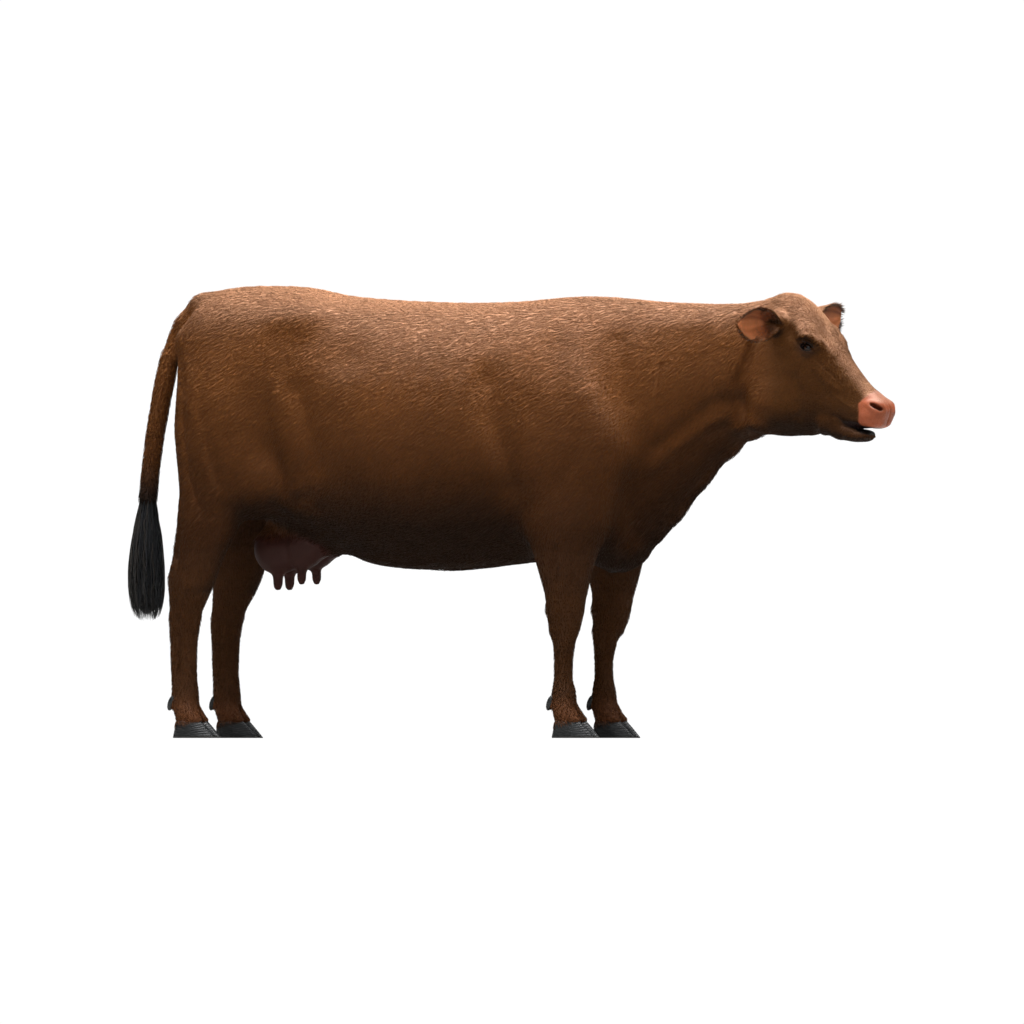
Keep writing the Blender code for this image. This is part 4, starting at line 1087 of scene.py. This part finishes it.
# name: (faces, gap between roots, length, width, height, unwrap)
COATS = {}
for part, zone, long, high in (
    ("belly", FZ < 0.82, 0.026, 0.0036), ("flank", is_flank, 0.026, 0.0034),
    ("back", FZ >= 1.08, 0.025, 0.0032),
):
    for side, here in (("left", FY > 0), ("right", FY <= 0)):
        COATS["coat_" + part + "_" + side] = (
            is_trunk & here & zone, 0.0058, long, 0.0030, high, "trunk")
COATS |= {
    "coat_neck": (is_neck, 0.0058, 0.024, 0.0030, 0.0034, "neck"),
    "coat_legs": (is_leg, 0.0062, 0.017, 0.0028, 0.0028, "legs"),
    "coat_head": (is_head, 0.0042, 0.0130, 0.0024, 0.0016, "head"),
    "coat_tail": (is_tail, 0.0056, 0.020, 0.0032, 0.0040, "tail"),
}

# Hair: a clump of straight hairs, satin along its length, a little darker at the root.
hair_look, shader = new_material("short hair", 0.62, 0.10)
place = add_node(hair_look, "ShaderNodeTexCoord")
mottle = add_node(hair_look, "ShaderNodeTexNoise", Vector=place.outputs["Object"], Scale=160.0,
                  Detail=3.0)
shade = add_node(hair_look, "ShaderNodeMapRange", Value=mottle.outputs["Fac"], From_Min=0.3,
                 From_Max=0.7, To_Min=0.86, To_Max=1.12)
dress(hair_look, shader, shade.outputs[0])

for order, (name, (faces, gap, long, wide, high, chart)) in enumerate(COATS.items()):
    roots, normals = strewn(faces & haired, gap, 40 + order)
    count = len(roots)
    plan = roots - SHIFT
    length, width, height = np.full(count, long), np.full(count, wide), np.full(count, high)
    if chart == "head":
        nose = ease(-0.14, -0.01, nose_ahead(roots[:, 0], roots[:, 2]))
        length *= 1 - 0.35 * nose
        height *= 1 - 0.35 * nose
        poll = hump(0.86, 0.90, 0.98, 1.02, plan[:, 0]) * ease(1.28, 1.36, plan[:, 2])
        length *= 1 + 0.8 * poll
        for side in EARS:
            along, far, around, radius, wall, angle = in_ear(side, roots)
            on = (along > 0.2) & (far < 0.11) & (roots[:, 1] * EARS[side][0][1] > 0)
            length = np.where(on, 0.013, length)
            height = np.where(on, 0.0013, height)
            out, across, up = in_eye(side, roots)
            lid = 1 - ease(0.020, 0.036, np.linalg.norm(roots - eye_axes(side)[0], axis=1) - 0.006)
            length *= 1 - 0.45 * lid
            height *= 1 - 0.5 * lid
    if chart == "legs":
        foot = 1 - ease(0.10, 0.32, plan[:, 2])
        length *= 1 - 0.30 * foot
        height *= 1 - 0.25 * foot
    if chart in ("head", "neck"):
        throat = np.exp(-((plan[:, 0] - 0.815) / 0.045) ** 2) * (1 - ease(0.95, 1.0, plan[:, 2]))
        length *= 1 - 0.5 * throat
        height *= 1 - 0.5 * throat
    # the tufts take the hide's colours, with their painted highlight and painted shade
    colours = markings(roots, normals)[0]
    unwraps = {
        "trunk": around_chart(plan, -1.17, 0.62, 0.95),
        "neck": around_chart(plan, 0.44, 0.90, 1.12),
        "head": around_chart(plan, 0.88, 1.28, 1.10),
        "legs": upright_chart(roots, LEG_CENTRES, 0.0, 0.62),
        "tail": upright_chart(roots, [(-1.18, 0.0)], 0.68, 1.32),
    }
    mesh = build_tufts(name, roots, normals, lie_of(roots, normals), length, width, height,
                       colours, unwraps[chart], 60 + order)
    placed(name, mesh, hair_look, "coat")

# ---- The eyes ----------------------------------------------------------------------------
# Large dark balls, deep in their lids and wet. The cornea stands a little proud of the ball;
# behind it lie a brown iris and a wide, level pupil.
CORNEA = 0.0017
CORNEA_ANGLE = 38.0
EYE_RINGS, EYE_SIDES = 72, 96
EYE_HUES = {"pupil": linear("#040405"), "iris": linear("#2c180c"), "rim": linear("#0b0706"),
            "white": linear("#6a4d42")}


def from_rings(name, rings, tips=None):
    """A closed mesh over rings of points; its ends run to two tips, or are flat faces."""
    shape = bmesh.new()
    made = [[shape.verts.new(point) for point in ring] for ring in rings]
    sides = len(made[0])
    for a, b in zip(made, made[1:]):
        for i in range(sides):
            k = (i + 1) % sides
            shape.faces.new((a[i], a[k], b[k], b[i]))
    for ring, tip in zip((made[0], made[-1]), tips or (None, None)):
        if tip is None:
            shape.faces.new(ring)
            continue
        middle = shape.verts.new(tip)
        for i in range(sides):
            shape.faces.new((ring[i], ring[(i + 1) % sides], middle))
    bmesh.ops.recalc_face_normals(shape, faces=shape.faces)
    mesh = bpy.data.meshes.new(name)
    shape.to_mesh(mesh)
    shape.free()
    smoothed(mesh)
    return mesh


# Eye: a clear wet film over a dark iris, glossy as glass.
eye_look, shader = new_material("wet eyeball", 0.06, 0.26)
shader.inputs["Coat Weight"].default_value = 0.15
shader.inputs["Coat Roughness"].default_value = 0.02
colour = add_node(eye_look, "ShaderNodeAttribute", {"attribute_name": "hide"})
eye_look.node_tree.links.new(colour.outputs["Color"], shader.inputs["Base Color"])

for side in EARS:
    middle, gaze, ahead, up = eye_axes(side)
    slope = np.radians(np.r_[np.linspace(0, 60, EYE_RINGS * 2 // 3),
                             np.linspace(60, 180, EYE_RINGS // 3 + 1)[1:]])
    angle = np.arange(EYE_SIDES) * 2 * math.pi / EYE_SIDES
    bulge = CORNEA * (1 - ease(0.6, 1.15, np.degrees(slope) / CORNEA_ANGLE))
    radius = EYE_RADIUS - 0.0004 + bulge
    flat = np.cos(angle)[:, None] * ahead + np.sin(angle)[:, None] * up
    inner = slope[1:-1, None, None]
    rings = middle + radius[1:-1, None, None] * (np.cos(inner) * gaze + np.sin(inner) * flat[None])
    tips = [middle + gaze * radius[0], middle - gaze * radius[-1]]
    eye_mesh = from_rings("eyeball_" + side, rings, tips)
    points = np.concatenate([rings.reshape(-1, 3), tips])
    offset = (points - middle) / EYE_RADIUS
    along, high = offset @ ahead, offset @ up
    reach = np.hypot(along, high)
    reach = np.where(offset @ gaze > 0, reach, 1.5)
    spoke = np.arctan2(high, along)
    streak = 1 + 0.28 * np.sin(spoke * 31) * np.sin(spoke * 17 + 2)
    hue = EYE_HUES["iris"] * (streak * (1.0 - 0.35 * ease(0.35, 0.62, reach)))[:, None]
    pupil = 1 - ease(0.92, 1.06, np.hypot(along / 0.40, high / 0.20))
    hue += (EYE_HUES["pupil"] - hue) * pupil[:, None]
    hue += (EYE_HUES["rim"] - hue) * ease(0.58, 0.66, reach)[:, None]
    hue += (EYE_HUES["white"] - hue) * ease(0.80, 0.92, reach)[:, None]
    set_colour(eye_mesh, "hide", hue)
    placed("eyeball_" + side, eye_mesh, eye_look, "eye", "eye_" + side)

# ---- The hooves --------------------------------------------------------------------------
# Two horny claws on each foot and two dewclaws behind it. Horn grows down from the coronet in
# rings that lie close together, and wears to a flat edge on the ground.
HORN = {"dark": linear("#1b1d1f"), "band": linear("#37312d"), "ground": linear("#443f39")}
HOOF_SIDES, HOOF_LEVELS = 56, 40
HOOF_SQUARE = 2.25           # how square a claw's outline is; 2 makes an ellipse
DEWCLAW_SIDES, DEWCLAW_LEVELS = 28, 26
DEWCLAW_TILT = math.radians(22)

# Horn: dense keratin, satin, with fine tubules down it and rings across it.
horn_look, shader = new_material("hoof horn", 0.42, 0.5)
tubules, shade = lines_along(horn_look, (900, 900, 40), 3.0, 0.72, 1.25)
dress(horn_look, shader, shade, tubules, 0.35, 0.0006)


def horn(name, points, heights, node):
    """A closed piece of horn from rings of points, low to high, and its colours by height."""
    mesh = from_rings(name, points, [points[0].mean(0), points[-1].mean(0)])
    share = np.r_[np.repeat(heights, points.shape[1]), heights[0], heights[-1]]
    hue = HORN["dark"] * np.ones((len(share), 1)) * (1 + 0.22 * np.sin(share * 60))[:, None]
    hue += (HORN["band"] - hue) * ease(0.84, 0.95, share)[:, None]
    hue += (HORN["ground"] - hue) * (0.5 * (1 - ease(0.0, 0.14, share)))[:, None]
    set_colour(mesh, "hide", np.clip(hue, 0, 1))
    placed(name, mesh, horn_look, "hoof", node)


def claw(leg_x, leg_y, side, outward):
    """Rings of one claw: an egg-shaped foot whose front wall slopes back to the coronet."""
    share = np.r_[0.0, 0.012, 0.045, np.linspace(0.09, 1.0, HOOF_LEVELS - 5), 1.03, 1.02]
    level = np.clip(share, 0, 1)[:, None]
    angle = np.arange(HOOF_SIDES)[None] * 2 * math.pi / HOOF_SIDES
    c = np.sign(np.cos(angle)) * np.abs(np.cos(angle)) ** (2 / HOOF_SQUARE)
    s = np.sign(np.sin(angle)) * np.abs(np.sin(angle)) ** (2 / HOOF_SQUARE)
    toe = np.maximum(c, 0) ** 1.6
    ring = 0.00045 * np.sin(level * 58 + 0.6 * np.sin(angle)) * (level > 0.06) * (level < 0.93)
    worn = np.r_[-0.0035, -0.0012, 0.0, np.zeros(HOOF_LEVELS - 5), -0.0020, -0.0075][:, None]
    swell_top = 0.0012 * np.exp(-((level - 0.95) / 0.035) ** 2)
    front = 0.0735 - 0.0400 * level ** 0.85
    heel = 0.0690 - 0.0330 * level
    long = np.where(c > 0, front, heel) + ring + worn + swell_top
    wide = 0.0283 - 0.0042 * level + ring + worn + swell_top
    x = leg_x + 0.042 - 0.023 * level + long * c
    curl = 0.0095 * toe * (1 - level)
    y = leg_y + outward * (0.0297 - curl) + wide * s * (1 - 0.40 * toe)
    edge = 0.0535 + CORONET_SLOPE * (x - leg_x - 0.027) + 0.003 * np.cos(2 * angle)
    z = share[:, None] * edge
    z[0] = 0.0
    z[1] = 0.0006
    z[-1] = z[-2] - 0.004
    return np.stack([x + SHIFT[0], side * y + 0 * x, z], -1), np.clip(share, 0, 1)


def dewclaw(leg_x, leg_y, side, outward):
    """Rings of one dewclaw: a blunt cone, its point down and back."""
    share = np.linspace(0.0, 1.0, DEWCLAW_LEVELS)
    level = share[:, None]
    angle = np.arange(DEWCLAW_SIDES)[None] * 2 * math.pi / DEWCLAW_SIDES
    width = np.sqrt(np.clip(1 - (2 * level - 1) ** 2, 0.002, 1)) * (1 - 0.16 * (1 - level))
    width = width + 0.03 * np.sin(level * 44) * (level > 0.1) * (level < 0.9)
    x = 0.0128 * width * np.cos(angle)
    y = 0.0132 * width * np.sin(angle)
    z = (2 * level - 1) * 0.0255 + 0 * x
    c, s = math.cos(DEWCLAW_TILT), math.sin(DEWCLAW_TILT)
    turned = np.stack([x * c + z * s, y, z * c - x * s], -1)
    middle = (leg_x - 0.036 + SHIFT[0], side * (leg_y + outward * 0.020), 0.109)
    return turned + middle, share


for leg, (leg_x, leg_y) in LEGS.items():
    for side, sign in (("left", 1), ("right", -1)):
        for where, outward in (("outer", 1), ("inner", -1)):
            foot = leg + "_" + side + "_"
            for kind, rings in (("claw_", claw), ("dewclaw_", dewclaw)):
                points, heights = rings(leg_x, leg_y, sign, outward)
                horn("hoof_" + foot + kind + where, points, heights, foot + kind + where)

# ---- The long hair -----------------------------------------------------------------------
# The brush of the tail, the lashes, the hair of the coronets and ears: locks or stout hairs that
# follow a path from the root to a fine tip. Geometry Nodes sweep a small ring along each path.
SWEEP_SIDES = 3


def sweep_tree():
    """Nodes that turn each edge path into a tapered hair; its thickness is an attribute."""
    tree = bpy.data.node_groups.new("hair along paths", "GeometryNodeTree")
    tree.interface.new_socket("Paths", in_out="INPUT", socket_type="NodeSocketGeometry")
    sides = tree.interface.new_socket("Sides", in_out="INPUT", socket_type="NodeSocketInt")
    width = tree.interface.new_socket("Width", in_out="INPUT", socket_type="NodeSocketFloat")
    finish = tree.interface.new_socket("Finish", in_out="INPUT", socket_type="NodeSocketMaterial")
    tree.interface.new_socket("Hair", in_out="OUTPUT", socket_type="NodeSocketGeometry")
    given, result = tree.nodes.new("NodeGroupInput"), tree.nodes.new("NodeGroupOutput")
    curve = tree.nodes.new("GeometryNodeMeshToCurve")
    ring = tree.nodes.new("GeometryNodeCurvePrimitiveCircle")
    thick = tree.nodes.new("GeometryNodeInputNamedAttribute")
    thick.data_type = "FLOAT"
    thick.inputs["Name"].default_value = "thick"
    sweep = tree.nodes.new("GeometryNodeCurveToMesh")
    sweep.inputs["Fill Caps"].default_value = True
    real = tree.nodes.new("GeometryNodeRealizeInstances")
    painted = tree.nodes.new("GeometryNodeSetMaterial")
    for a, b in (
        (given.outputs["Paths"], curve.inputs["Mesh"]),
        (given.outputs["Sides"], ring.inputs["Resolution"]),
        (given.outputs["Width"], ring.inputs["Radius"]),
        (given.outputs["Finish"], painted.inputs["Material"]),
        (curve.outputs[0], sweep.inputs["Curve"]),
        (ring.outputs["Curve"], sweep.inputs["Profile Curve"]),
        (thick.outputs[0], sweep.inputs["Scale"]),
        (sweep.outputs[0], real.inputs[0]),
        (real.outputs[0], painted.inputs["Geometry"]),
        (painted.outputs[0], result.inputs[0]),
    ):
        tree.links.new(a, b)
    return tree, sides.identifier, width.identifier, finish.identifier


hair_tree, SIDES_INPUT, WIDTH_INPUT, FINISH_INPUT = sweep_tree()


def long_hairs(name, paths, width, colours, look, slot, *nodes):
    """Hairs along paths, an array of hairs x points x 3, each in its own colour at the middle."""
    count, steps = paths.shape[:2]
    mesh = bpy.data.meshes.new(name + " paths")
    first = (np.arange(count)[:, None] * steps + np.arange(steps - 1)).ravel()
    mesh.from_pydata(paths.reshape(-1, 3).tolist(), np.stack([first, first + 1], 1).tolist(), [])
    share = np.linspace(0, 1, steps)
    taper = np.clip(np.minimum(0.55 + share * 1.8, (1 - share) * 1.35 + 0.06), 0.05, 1)
    set_number(mesh, "thick", np.tile(taper, count))
    paths_object = bpy.data.objects.new(name + " paths", mesh)
    bpy.context.scene.collection.objects.link(paths_object)
    grown = paths_object.modifiers.new("hair", "NODES")
    grown.node_group = hair_tree
    grown[SIDES_INPUT] = SWEEP_SIDES
    grown[WIDTH_INPUT] = width / 2
    grown[FINISH_INPUT] = look
    graph = bpy.context.evaluated_depsgraph_get()
    made = bpy.data.meshes.new_from_object(paths_object.evaluated_get(graph))
    bpy.data.objects.remove(paths_object)
    bpy.data.meshes.remove(mesh)
    made.name = name
    each = steps * SWEEP_SIDES
    points = read(made.vertices, "co")
    assert len(points) == count * each
    row = np.arange(len(points)) // each
    share = (np.arange(len(points)) % each) // SWEEP_SIDES / (steps - 1)
    hue = colours[row] * (0.80 + 0.35 * share)[:, None]
    set_colour(made, "hide", np.clip(hue, 0, 1))
    corners = read(made.loops, "vertex_index", np.int32, 1).ravel()
    turn = (np.arange(len(points)) % SWEEP_SIDES) / SWEEP_SIDES
    grid = math.ceil(math.sqrt(count))
    root = np.stack([row % grid, row // grid], 1) / grid * 0.98 + 0.01
    uv = root + np.stack([turn, share], 1) * min(0.003, 0.6 / grid)
    layer = made.uv_layers.new(name="OFBake")
    layer.data.foreach_set("uv", uv[corners].astype(np.float32).ravel())
    smoothed(made)
    placed(name, made, look, slot, *nodes)


# Long hair: coarse and glossy, each lock straight with a slow wave.
brush_look, shader = new_material("long coarse hair", 0.42, 0.4)
strands, shade = lines_along(brush_look, (1500, 1500, 30), 2.0, 0.65, 1.3)
dress(brush_look, shader, shade, strands, 0.5, 0.001)

# the brush: (middle ahead, height, half width), from the end of the tail to the hair's tips
BRUSH = np.array([
    (-1.210, 0.820, 0.017), (-1.215, 0.770, 0.024), (-1.217, 0.728, 0.031),
    (-1.220, 0.660, 0.042), (-1.221, 0.590, 0.052), (-1.222, 0.530, 0.059),
    (-1.222, 0.470, 0.063), (-1.221, 0.410, 0.062), (-1.220, 0.380, 0.056),
    (-1.219, 0.360, 0.044),
])
BRUSH_HUES = np.array([linear(shade) for shade in ("#1a1b1e", "#26221f", "#15171a")])
rng = np.random.default_rng(11)
BRUSH_LOCKS, BRUSH_STEPS = 640, 15
turn_at = rng.uniform(0, 2 * math.pi, BRUSH_LOCKS)
deep = np.sqrt(rng.uniform(0.30, 1.0, BRUSH_LOCKS))
start = rng.uniform(0.650, 0.775, BRUSH_LOCKS)
end = 0.360 + np.abs(rng.normal(0, 0.024, BRUSH_LOCKS)) + 0.014 * deep ** 3
share = np.linspace(0, 1, BRUSH_STEPS)[None]
height = start[:, None] + (end - start)[:, None] * share
middle = np.interp(-height, -BRUSH[:, 1], BRUSH[:, 0]) + SHIFT[0]
reach = np.interp(-height, -BRUSH[:, 1], BRUSH[:, 2]) - 0.0022
reach = reach * (1 - 0.24 * share ** 5)
grow = deep[:, None] * (0.86 + 0.14 * np.minimum(share * 4, 1))
waves = rng.uniform(0.06, 0.16, BRUSH_LOCKS)[:, None]
phase = rng.uniform(0, 7, BRUSH_LOCKS)[:, None]
sway = rng.normal(0, 0.06, BRUSH_LOCKS)[:, None] * np.sin(height * 2 * math.pi / waves + phase)
sway = sway + rng.normal(0, 0.10, BRUSH_LOCKS)[:, None] * share
angle = turn_at[:, None] + sway
paths = np.stack([middle + reach * grow * np.cos(angle), reach * grow * np.sin(angle), height], -1)
hues = BRUSH_HUES[rng.integers(0, 3, BRUSH_LOCKS)]
hues = hues * rng.uniform(0.8, 1.35, BRUSH_LOCKS)[:, None]
long_hairs("tail_brush", paths, 0.0062, hues, brush_look, "switch", "tail_switch")

# the hair within the brush, so that no light comes through it
CORE_SIDES, CORE_LEVELS = 40, 40
heights = np.linspace(0.790, 0.385, CORE_LEVELS)
core_x = np.interp(-heights, -BRUSH[:, 1], BRUSH[:, 0]) + SHIFT[0]
core_r = np.interp(-heights, -BRUSH[:, 1], BRUSH[:, 2]) * 0.74
core_r *= np.sqrt(np.clip((heights - 0.383) / 0.07, 0.02, 1))
angle = np.arange(CORE_SIDES)[None] * 2 * math.pi / CORE_SIDES
flute = 1 + 0.06 * np.sin(angle * 9 + heights[:, None] * 30) + 0.03 * np.sin(angle * 17)
core = np.stack([core_x[:, None] + core_r[:, None] * flute * np.cos(angle),
                 core_r[:, None] * flute * np.sin(angle), heights[:, None] + 0 * angle], -1)
core_mesh = from_rings("tail_brush_core", core)
set_colour(core_mesh, "hide", np.tile(linear("#141416"), (len(core_mesh.vertices), 1)))
placed("tail_brush_core", core_mesh, brush_look, "switch")

# lashes: a dense row along each upper lid, a thin one along the lower
rng = np.random.default_rng(12)
paths, hues = [], []
for side in EARS:
    middle, gaze, ahead, up = eye_axes(side)
    for upper, count, length in ((True, 84, 0.025), (False, 30, 0.011)):
        along = np.linspace(-0.86, 0.80, count) * GAP_LONG + rng.normal(0, 0.0004, count)
        line = lid_line(along, upper) * (1 if upper else -1)
        flat = (along - GAP_BACK)[:, None] * ahead + line[:, None] * up
        out = np.sqrt(np.clip((EYE_RADIUS + LID * 0.6) ** 2 - (flat ** 2).sum(1), 1e-8, None))
        root = middle + flat + out[:, None] * gaze
        length = length * rng.uniform(0.75, 1.1, count) * (1 - 0.35 * (along / GAP_LONG) ** 2)
        share = np.linspace(0, 1, 7)[:, None]
        fan = along / GAP_LONG * 0.7 + rng.normal(0, 0.08, count)
        way = gaze * 0.95 + up * (0.05 if upper else -0.35) + ahead * fan[:, None]
        way /= np.linalg.norm(way, axis=1, keepdims=True)
        bend = up * (0.42 if upper else -0.25) * (share ** 2 - 0.55 * share * upper)
        paths.append(root[:, None] + length[:, None, None] * (way[:, None] * share + bend))
        hues.append(np.tile(linear("#120c09"), (count, 1)))
long_hairs("lashes", np.concatenate(paths), 0.0012, np.concatenate(hues), brush_look, "coat")

# the hair of each coronet hangs over the top of the horn
rng = np.random.default_rng(14)
paths, hues, count = [], [], 230
for leg_x, leg_y in LEGS.values():
    for sign in (1, -1):
        for outward in (1, -1):
            rings = claw(leg_x, leg_y, sign, outward)[0]
            top, low = rings[-3], rings[int(HOOF_LEVELS * 0.70)]
            spot = rng.uniform(0, HOOF_SIDES, count)
            i, part = spot.astype(int), (spot % 1)[:, None]
            k = (i + 1) % HOOF_SIDES
            start = top[i] * (1 - part) + top[k] * part
            finish = low[i] * (1 - part) + low[k] * part
            out = unit(start - start.mean(0)) * (1, 1, 0)
            down = unit(finish - start)
            share = np.linspace(0, 1, 5)[:, None]
            length = rng.uniform(0.016, 0.030, count)[:, None, None]
            root = start - down * 0.010 - out * 0.0035
            lift = out[:, None] * (0.0052 * np.sin(share * 2.2))
            paths.append(root[:, None] + down[:, None] * share * length + lift)
            hues.append(np.array([HAIR["pastern"], HAIR["leg"]])[rng.integers(0, 2, count)])
long_hairs("coronet_hair", np.concatenate(paths), 0.0024, np.concatenate(hues), brush_look, "coat")

# ear fringes: soft hair from both edges of each ear, over the cup and past the rim
paths, hues, count = [], [], 900
for side in EARS:
    root, axis, facing, across = ear_axes(side)
    along = rng.uniform(0.22, 0.97, count) ** rng.choice((1.0, 1.6), count)
    edge = rng.choice((-1, 1), count)
    share_r, angle_r, wall, back = (np.interp(along, EAR_ALONG, row) for row in EAR_FORM)
    angle_r = np.radians(angle_r)
    radius = share_r * EAR_WIDE / 2 / np.sin(np.minimum(angle_r, math.pi / 2))
    inner = rng.uniform(0, 1, count) ** 2 * (0.12 + 0.6 * (1 - ease(0.3, 0.62, along)))
    place_at = angle_r * (0.94 - inner) * edge
    ring_r = radius * (1 - wall * rng.uniform(0.1, 0.9, count))
    foot = root + (along * EAR_LONG)[:, None] * axis
    foot = foot + ((radius - back) - ring_r * np.cos(place_at))[:, None] * facing
    foot = foot + (ring_r * np.sin(place_at))[:, None] * across
    length = rng.uniform(0.012, 0.024, count) * (1 - 0.35 * along)
    way = axis * 0.75 + facing * 0.35 - across * (edge * rng.uniform(-0.35, 0.55, count))[:, None]
    way = way + rng.normal(0, 0.12, (count, 3))
    way /= np.linalg.norm(way, axis=1, keepdims=True)
    share = np.linspace(0, 1, 6)[:, None]
    bend = axis * 0.25 * share ** 2
    paths.append(foot[:, None] + length[:, None, None] * (way[:, None] * share + bend))
    hues.append(np.array([linear("#5a3a22"), linear("#3d2717")])[rng.integers(0, 2, count)])
long_hairs("ear_fringes", np.concatenate(paths), 0.0013, np.concatenate(hues), brush_look, "coat")
